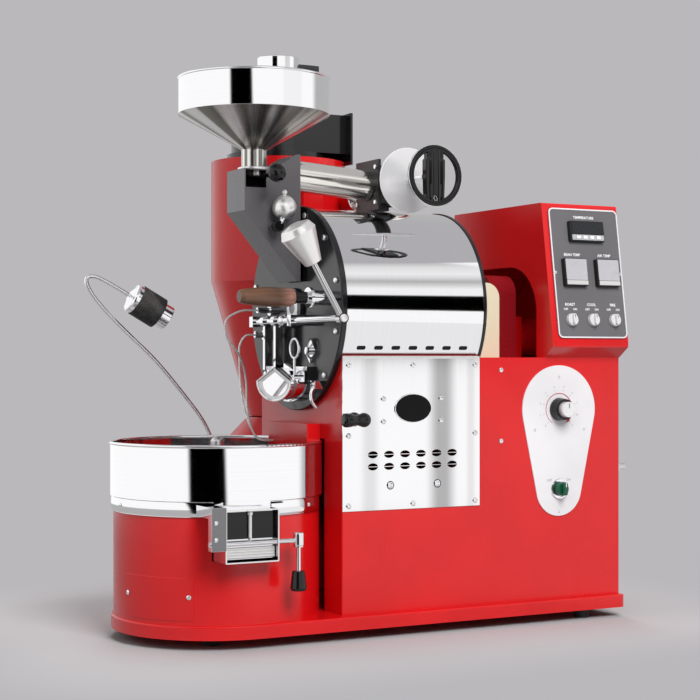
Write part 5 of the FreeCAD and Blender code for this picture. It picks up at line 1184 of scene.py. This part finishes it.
@dataclass
class DoorDress:
    """The counterweight, the bowl on the discharge door and the nuts beside it."""

    root: Point = (-157.0, -315.0, 514.5)
    lean: float = 30.3
    front: float = -134.0
    bowl: Pair = (-105.0, 413.0)
    bowl_half: float = 67.5
    bowl_depth: float = 33.0
    gable: float = 24.0
    nut_circle: float = 28.0

    def build(self) -> None:
        """Make the pieces."""
        self._weight()
        self._cap()
        self._bowl()
        self._nuts()

    def _weight(self) -> None:
        """A turned cone with a domed top, on its slanted lever."""
        slope = math.radians(self.lean)
        place = along_line(self.root, (-math.sin(slope), 0.0, math.cos(slope)))
        work = Sheetwork("counterweight")
        profile = outline((4.6, 98.0), (12.6, 98.0), arc((12.6, 99.4), 1.4, -90.0, 0.0, 4),
                          (28.6, 149.0), arc((26.6, 150.0), 2.4, -10.0, 45.0, 5),
                          (24.6, 160.0), arc((20.6, 158.6), 4.0, 20.0, 78.0, 6),
                          (10.0, 165.9), (0.0, 166.0), (0.0, 104.0), (4.6, 104.0))
        work.turned(place, profile, SATIN_BRIGHT, 72, loop=True)
        work.build("discharge_door", "chrome", "door_weight")

    def _cap(self) -> None:
        """A low dome on the near end of the door's shaft."""
        cap = Sheetwork("shaft_cap")
        near_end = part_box("discharge_door")[0][1] / MM
        dome = outline((0.0, -0.5), (6.4, -0.5), arc((4.4, 0.4), 2.0, 0.0, 70.0, 5), (0.0, 3.0))
        cap.turned(facing_near(self.root[0], near_end, self.root[2]), dome, SATIN_BRIGHT, 32)
        cap.build("discharge_door", "chrome")

    def _bowl(self) -> None:
        """A deep pressing on the door: round below, a low gable above, with a bright rim.

        The outline is half an ellipse under two straight slopes; it grows from the door to the
        rim, turns inwards and falls to a shallow dish.
        """
        work = Sheetwork("door_bowl")
        place = facing_front(self.front - 13.4, *self.bowl)
        half = self.bowl_half
        turn = np.radians(np.linspace(180.0, 360.0, 41))
        slope = np.linspace(half, -half, 33)[1:-1]
        edge = outline(np.stack([half * np.cos(turn), self.bowl_depth * np.sin(turn)], 1),
                       np.stack([slope, self.gable * (1.0 - np.abs(slope) / half)], 1))
        shares = (0.86, 0.88, 0.93, 0.96, 1.0, 1.0, 0.985, 0.95, 0.93, 0.90, 0.6, 0.25, 0.05)
        outs = (0.0, 3.0, 18.0, 24.0, 26.5, 28.0, 28.8, 28.8, 28.0, 26.6, 25.0, 24.0, 23.8)
        middle = np.array([0.0, -5.0])
        rows = layers(place, [middle + (edge - middle) * share for share in shares], outs)
        work.sheet(rows, DOOR_STEEL)
        work.build("discharge_door", "chrome")

    def _nuts(self) -> None:
        """The ring of nuts round the drum's hub on the front plate."""
        work = Sheetwork("plate_nuts")
        hub = facing_front(self.front - 6.0, CENTRE_Y, DRUM_Z)
        for _, y, z in spokes(30.0, 60.0, 6):
            place = hub.moved(-self.nut_circle * y, self.nut_circle * z)
            work.turned(place, nut(3.6, 3.0, 0.6), CHROME, 6)
        work.build("machine", "chrome")


@dataclass
class TryerDress:
    """The turned wooden handle of the sampling scoop with its black ferrule."""

    root: Point = (-178.0, -228.0, 549.0)

    def build(self) -> None:
        """Turn the handle about X: a swelling grip, bright rings and a black ferrule."""
        place = facing_front(*self.root)
        work = Sheetwork("tryer_grip")
        out = (21.5, 23.0, 27.0, 31.0, 36.0, 41.0, 60.0, 72.0, 82.0, 94.0, 103.0, 112.0, 115.5)
        radius = (10.6, 13.2, 15.4, 15.6, 14.9, 14.9, 16.0, 15.6, 14.8, 13.6, 12.6, 11.4, 8.4)
        fine = np.linspace(out[0], out[-1], 70)
        padded = np.pad(np.interp(fine, out, radius), 3, mode="edge")
        swell = np.convolve(padded, np.ones(7) / 7.0, "valid")
        work.turned(place, outline((0.0, 21.5), np.stack([swell, fine], 1), (0.0, 115.8)), WOOD, 64)
        rings = outline((0.0, -15.0), (8.6, -15.0), (9.6, -14.0), (9.6, -9.0), (8.4, -8.0), (8.4, -6.6),
                        (9.8, -5.6), (9.8, -0.6), (0.0, -0.2))
        work.turned(place, rings, CHROME, 48)
        ferrule = outline((0.0, 0.0), (9.0, 0.0), (9.6, 0.6), (9.6, 17.0), (10.6, 18.0), (10.6, 21.4),
                          (0.0, 21.4))
        work.turned(place, ferrule, BAKELITE, 48)
        work.build("tryer", "handle_wood", "tryer_handle")


@dataclass
class LampDress:
    """Ribbed gooseneck and the head of the work lamp, with a black sleeve and bright ends."""

    side_y: float = 76.0
    root: Pair = (-206.0, 249.0)
    start: Point = (-364.0, 75.0, 560.0)
    aim: Point = (0.862, -0.06, -0.503)
    radius: float = 3.6
    route_step: float = 0.75
    steps_per_rib: float = 4.0
    lens_radius: float = 18.9
    sleeve: Pair = (16.0, 62.0)
    route: Tuple[Pair, ...] = (
        (-206.0, 246.0), (-206.0, 270.0), (-206.0, 298.0), (-222.0, 338.0), (-262.0, 388.0),
        (-316.0, 450.0), (-366.0, 494.0), (-412.0, 538.0), (-437.0, 570.0), (-441.0, 589.0),
        (-424.0, 592.0), (-394.0, 577.0))

    def build(self) -> None:
        """Make the neck with its clip and the head."""
        self._neck()
        self._head()

    def _neck(self) -> None:
        """Radius = r × (0.97 + 0.05 × |sin| along the neck), carried along the smooth route."""
        work = Sheetwork("gooseneck")
        y = self.side_y
        points = [(x, y, z) for x, z in self.route] + [(self.start[0], y - 1.0, self.start[2])]
        route = even_route(smooth_route(points), self.route_step)
        phase = np.arange(len(route)) * np.pi / self.steps_per_rib
        ribs = self.radius * (0.97 + 0.05 * np.abs(np.sin(phase)))
        work.sheet(pipe(route, ribs, 20), GOOSENECK)
        x, z = self.root
        clip = outline((0.0, 0.0), (9.0, 0.0), (9.0, 1.0), (8.0, 2.0), (8.0, 13.0), (6.0, 15.0),
                       (0.0, 15.0))
        work.turned(lying(x, y, z), clip, CHROME, 40)
        work.slab(facing_near(x, y - 0.8, z), CHROME, 32.0, 26.0, 3.0, -1.0, 8.0, 1.0)
        work.build("machine", "chrome", "lamp_arm")

    def _head(self) -> None:
        """Bright domed cap, grooved black sleeve, bright nose ring and a recessed lens."""
        work = Sheetwork("lamp_shade")
        place = along_line(self.start, self.aim)
        cap = outline((0.0, 1.0), (7.0, 1.0), arc((7.5, 9.0), 8.0, -90.0, -65.0, 3),
                      (20.0, 5.4), arc((20.8, 10.6), 5.2, -70.0, 0.0, 8), (26.0, 16.4), (0.0, 16.4))
        work.turned(place, cap, CHROME, 72)
        low, high = self.sleeve
        along = np.linspace(low, high, 70)
        grooves = 27.5 - 0.5 * (np.sin((along - low) * 2 * np.pi / 4.6) > 0.86)
        grooves[[0, -1]] = 26.6
        work.turned(place, outline((0.0, low), np.stack([grooves, along], 1), (0.0, high)), RUBBER, 72)
        nose = outline((0.0, 61.8), (22.0, 61.8), arc((21.2, 78.8), 0.9, 0.0, 90.0, 4),
                       (19.6, 79.8), (19.0, 70.4), (0.0, 70.4))
        work.turned(place, nose, CHROME, 72)
        radius = np.linspace(0.0, self.lens_radius, 12)
        bulge = np.stack([radius, 76.5 - 4.5 * (radius / self.lens_radius) ** 2], 1)
        work.turned(place, outline(bulge, (self.lens_radius, 70.6), (0.0, 70.6)), LENS, 60)
        work.build("machine", "chrome", "lamp_head")


@dataclass
class FanDress:
    """Bright motor can with a raised band at each end, its dark terminal box and the flange's screws.
    """

    axis: Pair = (-13.0, 218.0)
    scroll_top: float = 905.0
    motor_top: float = 1018.0
    box_offset: float = 51.0
    lid_circle: float = 80.0
    flange_x: float = 88.0

    def build(self) -> None:
        """Make the pieces."""
        self._motor()
        self._screws()

    def _motor(self) -> None:
        """A can turned about Z with a rounded, recessed end cap, and the box on its +X side."""
        work = Sheetwork("fan_motor_can")
        x, y = self.axis
        low, high = self.scroll_top + 0.2, self.motor_top
        can = outline((6.5, low), (40.0, low), (40.0, low + 5.0), (38.4, low + 6.0),
                      (38.4, high - 31.0), (40.0, high - 30.0),
                      arc((37.4, high - 2.6), 2.6, 0.0, 90.0, 6), (12.0, high),
                      (11.0, high - 2.0), (0.0, high - 2.0), (0.0, low + 10.0), (6.5, low + 10.0))
        work.turned(lying(x, y, 0.0), can, ROUND_Z, 96, loop=True)
        box = lying(x + self.box_offset, y, 925.0)
        work.slab(box, MOTOR, 50.0, 48.0, 4.0, 0.0, 72.0, 1.0)
        work.slab(box, MOTOR, 50.0, 48.0, 4.0, 72.4, 81.0, 2.0)
        work.screws([box.moved(20.0, along, 81.0) for along in (19.0, -19.0)], 2.4, 1.4, 0.4)
        work.build("machine", "dark_steel", "fan_motor")

    def _screws(self) -> None:
        """Cap screws in the outlet flange's corners and round the scroll's lid."""
        work = Sheetwork("fan_screws")
        (x, y), reach = self.axis, self.lid_circle
        work.screws([lying(x + reach * across, y + reach * along, self.scroll_top)
                     for _, across, along in spokes(22.5, 45.0, 8)], 3.4, 2.4)
        work.screws([facing_rear(self.flange_x, y, z) for y in (119.0, 211.0) for z in (826.0, 897.0)],
                    3.6, 2.4)
        work.build("machine", "chrome")


@dataclass
class SightDress:
    """The egg-shaped sight lamp beside the chute, with its knob and black holder."""

    eye: Pair = (-180.0, -157.0)
    egg_z: float = 699.0
    egg_radius: float = 20.0
    holder: Point = (-192.0, -135.5, 668.0)

    def build(self) -> None:
        """Turn the egg about Z and add the ball, the slanted neck and the holder."""
        work = Sheetwork("sight_egg")
        axis = lying(*self.eye, 0.0)
        turn = np.radians(np.linspace(-90.0, 90.0, 33))
        radius = self.egg_radius * np.cos(turn) * (1.0 - 0.10 * np.sin(turn))
        height = self.egg_z + self.egg_radius * np.sin(turn) + 0.6 * np.sin(turn) ** 2
        work.turned(axis, np.stack([np.maximum(radius, 0.0), height], 1), SATIN_BRIGHT, 64)
        work.turned(axis, arc((0.0, 723.6), 4.6, -90.0, 90.0, 14), SATIN_BRIGHT, 32)
        work.turned(axis, outline((3.4, 717.0), (2.6, 719.0), (3.0, 720.6)), SATIN_BRIGHT, 32)
        holder = outline((0.0, 14.2), (8.2, 14.2), arc((8.2, 15.4), 1.2, -90.0, 0.0, 4),
                         arc((8.0, 24.6), 1.4, 0.0, 90.0, 4), (0.0, 26.0))
        work.turned(facing_near(*self.holder), holder, BAKELITE, 40)
        start = np.array(self.holder) + (3.0, -21.0, 2.0)
        end = np.array([*self.eye, 684.0])
        work.sheet(pipe(start + np.linspace(0.0, 1.0, 6)[:, None] * (end - start), 5.0, 28), CHROME)
        work.build("machine", "chrome", "sight_lamp")


@dataclass
class GateDress:
    """The cooling gate: mouth frame, dark flap face with its rod, and the lever's grip."""

    lever: Pair = (-223.5, -297.0)
    middle: float = -304.0
    strap_x: float = -360.0
    skirt: Pair = (146.0, 163.5)
    skirt_width: float = 82.0
    rib_pitch: float = 4.375

    def build(self) -> None:
        """Make the frame, the flap's face and the grip."""
        self._frame()
        self._face()
        self._grip()

    def _frame(self) -> None:
        """Bright frame round the mouth, a dark plate over the bearing strap that is a painted
        reflection of the dark its chrome shows, and the two round heads on the strap.
        """
        work = Sheetwork("gate_frame")
        mouth = facing_near(self.middle, -301.8, 180.5)
        work.sheet(rim_rows(mouth, 90.0, 82.0, 2.0, 2.2, 0.0, 1.2), SATIN_BRIGHT, loop=True)
        # Painted reflection: this dark plate over the strap stands for the dark that the strap's chrome
        # reflects.
        work.slab(facing_near(self.strap_x, -303.9, 193.0), DARK_STEEL, 23.6, 65.6, 1.5, 0.0, 0.5, 0.2)
        work.screws([facing_near(self.strap_x - 6.0, -304.3, z) for z in (177.6, 203.0)], 3.8, 2.4, 0.3)
        work.build("machine", "stainless")

    def _face(self) -> None:
        """Dark glossy plate, upright rod with its cap, and a ribbed skirt under the shaft."""
        work = Sheetwork("gate_face")
        work.slab(facing_near(self.middle, -292.5, 196.6), BAKELITE, 82.4, 41.6, 1.0, 0.0, 0.5, 0.2)
        upright = outline((0.0, 178.0), (2.8, 178.0), (2.8, 212.0), (4.2, 212.6), (4.2, 216.6),
                          (3.4, 217.4), (0.0, 217.4))
        work.turned(lying(self.middle - 1.5, -296.2, 0.0), upright, SATIN_BRIGHT, 28)
        low, high = self.skirt
        z = np.linspace(low, high, 61)
        ribs = np.stack([-0.6 - 1.4 * np.abs(np.sin((z - low) * np.pi / self.rib_pitch)), z], 1)
        section = outline(ribs, (0.0, high), (0.0, low))
        width = self.skirt_width
        work.sheet(layers(facing_rear(self.middle - width / 2, -292.4, 0.0), [section] * 4,
                          (0.0, 0.2, width - 0.2, width)), SATIN_BRIGHT)
        work.build("gate_flap", "stainless")

    def _grip(self) -> None:
        """A black grip that swells downwards and a rounded socket on the shaft's end."""
        work = Sheetwork("gate_grip")
        axis = lying(*self.lever, 0.0)
        grip = outline((0.0, 91.2), arc((8.5, 95.6), 4.4, -90.0, 0.0, 8), (12.4, 100.0), (10.0, 121.0),
                       arc((8.7, 121.2), 1.3, 0.0, 90.0, 4), (0.0, 122.5))
        work.turned(axis, grip, BAKELITE, 48)
        socket = outline((0.0, 160.0), arc((5.6, 163.0), 3.0, -90.0, 0.0, 5),
                         arc((5.6, 179.4), 3.0, 0.0, 90.0, 5), (0.0, 182.4))
        work.turned(axis, socket, CHROME, 40)
        work.build("gate_flap", "black_plastic")


@dataclass
class HopperDress:
    """The loading hopper: a bright band with a rolled rim over a spun cone and its throat."""

    centre: Pair = (-209.0, CENTRE_Y)
    radius: float = 126.0
    wall: float = 1.2
    rim: float = 916.0
    band: float = 855.0

    def build(self) -> None:
        """Turn the band, the cone and the throat's collar about Z, each a closed ring in section."""
        place = lying(*self.centre, 0.0)
        work = Sheetwork("hopper_sheet")
        outer, inner, low = self.radius, self.radius - self.wall, self.band
        band = outline((inner, low), (outer - 0.4, low), (outer, low + 0.4),
                       arc((outer - 0.6, self.rim - 2.2), 2.2, -72.0, 245.0, 18))
        work.turned(place, band, ROUND_Z, 160, loop=True)
        cone = outline((outer - 0.2, low + 0.2), (24.0, 799.0), (21.4, 797.2), (21.0, 795.6),
                       (21.0, 752.6), (19.8, 752.6), (19.8, 797.6), (inner - 0.4, low + 0.6))
        work.turned(place, cone, SPUN_CONE, 160, loop=True)
        collar = outline((20.8, 763.2), (27.0, 763.2), (27.0, 767.2), (26.2, 768.0), (20.8, 768.0))
        work.turned(place, collar, SATIN_BRIGHT, 72, loop=True)
        work.build("machine", "stainless", "hopper")


@dataclass
class PanDress:
    """Two bright half-round bands on the cooling pan's ring and the ring's screws."""

    radius: float = 171.0
    level: float = 218.8
    bulge: float = 1.7
    half_height: float = 11.6
    bands: Tuple[Pair, ...] = ((42.0, 245.0), (-84.0, -42.0))
    screws: Tuple[float, ...] = (4.6, 64.6, 124.6, 184.6, 244.0, -55.4)

    def build(self) -> None:
        """Point = centre + (radius + bulge × cos t) × (cos a, sin a), level + half height × sin t."""
        work = Sheetwork("pan_bands")
        section = np.radians(np.linspace(-90.0, 90.0, 17))
        reach = np.concatenate([self.radius + self.bulge * np.cos(section), [self.radius - 0.3] * 2])
        rise = self.level + self.half_height * np.concatenate([np.sin(section), [1.0, -1.0]])
        for low, high in self.bands:
            turn = np.radians(np.linspace(low, high, int(high - low) + 1))[:, None]
            rows = np.stack([PAN_CENTRE[0] + reach * np.cos(turn), PAN_CENTRE[1] + reach * np.sin(turn),
                             rise + 0.0 * turn], -1)
            work.sheet(rows, ROUND_Z)
        work.screws([outwards(PAN_CENTRE, self.radius + 1.4, degrees, self.level)
                     for degrees in self.screws], 3.6, 2.2)
        work.build("machine", "chrome")


# ------------------------------------------------------------------ studio
@dataclass(frozen=True)
class Softbox:
    """An area light that points at the machine's middle."""

    name: str
    place: Point
    size: float
    watts: float


@dataclass
class ReflectionTent:
    """A round wall and a floor ring of light and dark that only polished surfaces see.

    Angles are compass degrees from +X about the origin; lengths are metres.
    """

    radius: float = 2.3
    height: float = 2.7
    ring_start: float = 0.62

    def build(self) -> None:
        """Make the wall and the ring."""
        angle = np.arange(0.0, 360.0, 1.0)
        height = np.linspace(0.0, self.height, 109)[:, None]
        self._card("tent_wall", self.radius + 0.0 * height, angle, height,
                   self._wall_level(angle[None], height))
        reach = np.linspace(self.ring_start, self.radius, 35)[:, None]
        self._card("tent_ring", reach, angle, 0.003 + 0.0 * reach,
                   self._ring_level(angle[None], reach))

    @staticmethod
    def _soft(inside: Array, soft: float) -> Array:
        """1 well inside an edge and 0 well outside, smooth over the soft width."""
        share = np.clip(inside / soft + 0.5, 0.0, 1.0)
        return share * share * (3.0 - 2.0 * share)

    @staticmethod
    def _away(angle: Array, middle: Union[float, Array]) -> Array:
        """Degrees between compass angles, the short way round."""
        return np.abs((angle - middle + 180.0) % 360.0 - 180.0)

    def _turn(self, angle: Array, low: float, high: float, soft: float = 3.0) -> Array:
        """1 between two compass angles."""
        return self._soft((high - low) / 2.0 - self._away(angle, (low + high) / 2.0), soft)

    def _span(self, value: Array, low: float, high: float, soft: float = 0.05) -> Array:
        """1 between two heights or distances."""
        return self._soft(np.minimum(value - low, high - value), soft)

    def _wall_level(self, angle: Array, height: Array) -> Array:
        """White round the near side, grey behind, one leaning black flag and a banded card."""
        level = 0.50 + 0.60 * self._turn(angle, -268.0, -18.0, 14.0)
        away = self._away(angle, -126.0 - 7.5 * height)
        share = np.clip((17.0 - 2.1 * height - away) / 3.0 + 0.5, 0.0, 1.0)
        level = level * (1.0 - share * self._span(height, -1.0, 1.7, 0.2))
        card = self._turn(angle, -77.0, -46.0, 3.0)
        bands = np.interp(height, [0.45, 0.47, 1.01, 1.04, 1.30, 1.42, 1.62, 1.80, 2.0, 2.4, 2.7],
                          [1.0, 0.0, 0.0, 1.02, 1.02, 0.80, 0.50, 0.80, 0.98, 0.85, 0.55])
        level = level + card * (bands - level) * self._span(height, 0.45, 9.0)
        return np.maximum(level, 0.0)

    def _ring_level(self, angle: Array, reach: Array) -> Array:
        """The floor's own grey, a white card under the near side and the flag's foot."""
        level = 0.485 + 0.45 * self._turn(angle, -107.0, -18.0, 8.0) + 0.0 * reach
        flag = self._turn(angle, -143.0, -109.0, 4.0) * self._span(reach, 1.15, 9.0, 0.1)
        return level * (1.0 - 0.98 * flag)

    def _card(self, name: str, reach: Array, angle: Array, height: Array, level: Array) -> None:
        """Mesh one grid of places whose point attribute drives its emission."""
        turn = np.radians(angle)[None]
        rows = np.stack([reach * np.cos(turn), reach * np.sin(turn), height + 0.0 * turn], -1)
        size = rows.shape[:2]
        mesh = bpy.data.meshes.new(name)
        mesh.from_pydata(rows.reshape(-1, 3), [], quads(*size))
        strength = mesh.attributes.new("level", "FLOAT", "POINT")
        strength.data.foreach_set("value", np.broadcast_to(level, size).ravel().astype(np.float32))
        mesh.materials.append(self._material())
        card = linked(name, mesh)
        card.visible_camera = card.visible_diffuse = card.visible_shadow = False
        card.visible_transmission = card.visible_volume_scatter = False

    @staticmethod
    def _material() -> bpy.types.Material:
        """Emission whose strength is the point attribute."""
        made = bpy.data.materials.get("tent_cloth")
        if made is None:
            made = bpy.data.materials.new("tent_cloth")
            made.use_nodes = True
            made.cycles.emission_sampling = "NONE"
            graph = Graph(made.node_tree)
            level = graph.signal("ShaderNodeAttribute", "Fac", {"attribute_name": "level"})
            glow = graph.glow("ShaderNodeEmission", (1.0, 0.995, 1.0), level)
            graph.node("ShaderNodeOutputMaterial", None, {"Surface": glow})
        return made


@dataclass
class Studio:
    """Floor, background, lights, reflections and the camera."""

    backdrop: Colour = (0.490, 0.479, 0.496)
    floor_tone: Colour = (0.468, 0.462, 0.474)
    world_level: float = 0.21
    floor_reach: float = 30.0
    footprint: Pair = (0.45, 0.30)
    shadow_reach: float = 0.36
    target: Point = (0.0, 0.0, 0.45)
    lens: float = 84.34
    sensor: float = 36.0
    picture_shift: float = 7.5 / 700.0
    camera_place: Point = (-1.347, -2.580, 0.453)
    camera_turn: float = -28.0
    softboxes: Tuple[Softbox, ...] = (
        Softbox("softbox_near", (-0.3, -3.1, 2.6), 1.6, 138.0),
        Softbox("softbox_top", (0.1, 0.2, 3.3), 2.0, 42.0),
        Softbox("softbox_front", (-2.2, -2.4, 1.6), 1.4, 14.0),
        Softbox("softbox_back", (1.2, 3.0, 2.2), 1.6, 44.0),
        Softbox("softbox_far", (-2.8, 1.8, 1.8), 1.4, 14.0),
    )

    def build(self) -> None:
        """Make the whole studio."""
        self._world()
        self._floor()
        for box in self.softboxes:
            self._softbox(box)
        ReflectionTent().build()
        self._camera()

    def _world(self) -> None:
        """Cameras, mirrors and glass see the backdrop colour; matt surfaces get plain light."""
        world = bpy.data.worlds.new("studio")
        world.use_nodes = True
        bpy.context.scene.world = world
        graph = Graph(world.node_tree)
        path = graph.node("ShaderNodeLightPath")
        seen = Signal(graph, path.outputs["Is Camera Ray"])
        for name in ("Is Glossy Ray", "Is Transmission Ray"):
            seen = seen.most(Signal(graph, path.outputs[name]))
        light = graph.glow("ShaderNodeBackground", (1.0, 1.0, 1.0), self.world_level)
        shown = graph.glow("ShaderNodeBackground", self.backdrop)
        graph.node("ShaderNodeOutputWorld", None, {"Surface": graph.mix_shader(seen, light, shown)})

    def _floor(self) -> None:
        """A pale plane that takes shadows near the machine and fades into the backdrop."""
        mesh = bpy.data.meshes.new("floor")
        reach = self.floor_reach
        mesh.from_pydata([(-reach, -reach, 0), (reach, -reach, 0), (reach, reach, 0),
                          (-reach, reach, 0)], [], [(0, 1, 2, 3)])
        floor = linked("floor", mesh)
        material = bpy.data.materials.new("floor_paper")
        material.use_nodes = True
        graph = Graph(material.node_tree)
        across, along, _ = graph.axes(graph.position())
        past_end = (abs(across) - self.footprint[0]).most(0.0)
        past_side = (abs(along) - self.footprint[1]).most(0.0)
        far = graph.maths("SQRT", past_end * past_end + past_side * past_side)
        fade = graph.levels(far, 0.0, self.shadow_reach)
        fibre = graph.noise(graph.position(), 900.0, 3.0)
        tone = graph.blend(fibre, scaled(self.floor_tone, 0.97), scaled(self.floor_tone, 1.03))
        paper = graph.signal("ShaderNodeBsdfDiffuse", 0, None, {"Color": tone})
        glow = graph.glow("ShaderNodeEmission", self.backdrop)
        graph.node("ShaderNodeOutputMaterial", None,
                   {"Surface": graph.mix_shader(fade, paper, glow)})
        mesh.materials.append(material)

    def _softbox(self, box: Softbox) -> None:
        """One square area light that mirrors don't show."""
        data = bpy.data.lights.new(box.name, "AREA")
        data.shape = "SQUARE"
        data.size = box.size
        data.energy = box.watts
        lamp = linked(box.name, data)
        lamp.visible_glossy = False
        lamp.location = box.place
        aim = np.array(self.target) - np.array(box.place)
        flat = math.hypot(aim[0], aim[1])
        lamp.rotation_euler = (math.atan2(flat, -aim[2]), 0.0, math.atan2(aim[1], aim[0]) - math.pi / 2)

    def _camera(self) -> None:
        """A level camera in front of the pan's corner, at the height of the cabinet's top."""
        data = bpy.data.cameras.new("camera")
        data.lens = self.lens
        data.sensor_width = self.sensor
        data.shift_y = self.picture_shift
        data.clip_end = 100.0
        camera = linked("camera", data)
        camera.location = self.camera_place
        camera.rotation_euler = (math.pi / 2, 0.0, math.radians(self.camera_turn))
        bpy.context.scene.camera = camera
        bpy.context.scene.view_settings.view_transform = "Standard"


def dress_nodes() -> None:
    """Give every CAD node its finish."""
    node_finish = {name: finish for finish, names in FINISH_NODES for name in names.split()}
    for name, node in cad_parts.items():
        finish = node_finish[name].material()
        if not node.material_slots:
            node.data.materials.append(finish)
        for slot in node.material_slots:
            slot.material = finish
    LOG.info("dressed %d nodes", len(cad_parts))


def main() -> None:
    """Build the studio, dress the nodes and add the detail pieces."""
    logging.basicConfig(level=logging.INFO, format="%(message)s")
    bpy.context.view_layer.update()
    Studio().build()
    dress_nodes()
    for dress in (CabinetDress(), PanelDress(), ExhaustDress(), DoorDress(), TryerDress(), LampDress(),
                  FanDress(), SightDress(), GateDress(), HopperDress(), PanDress()):
        dress.build()


if __name__ == "__main__":
    main()
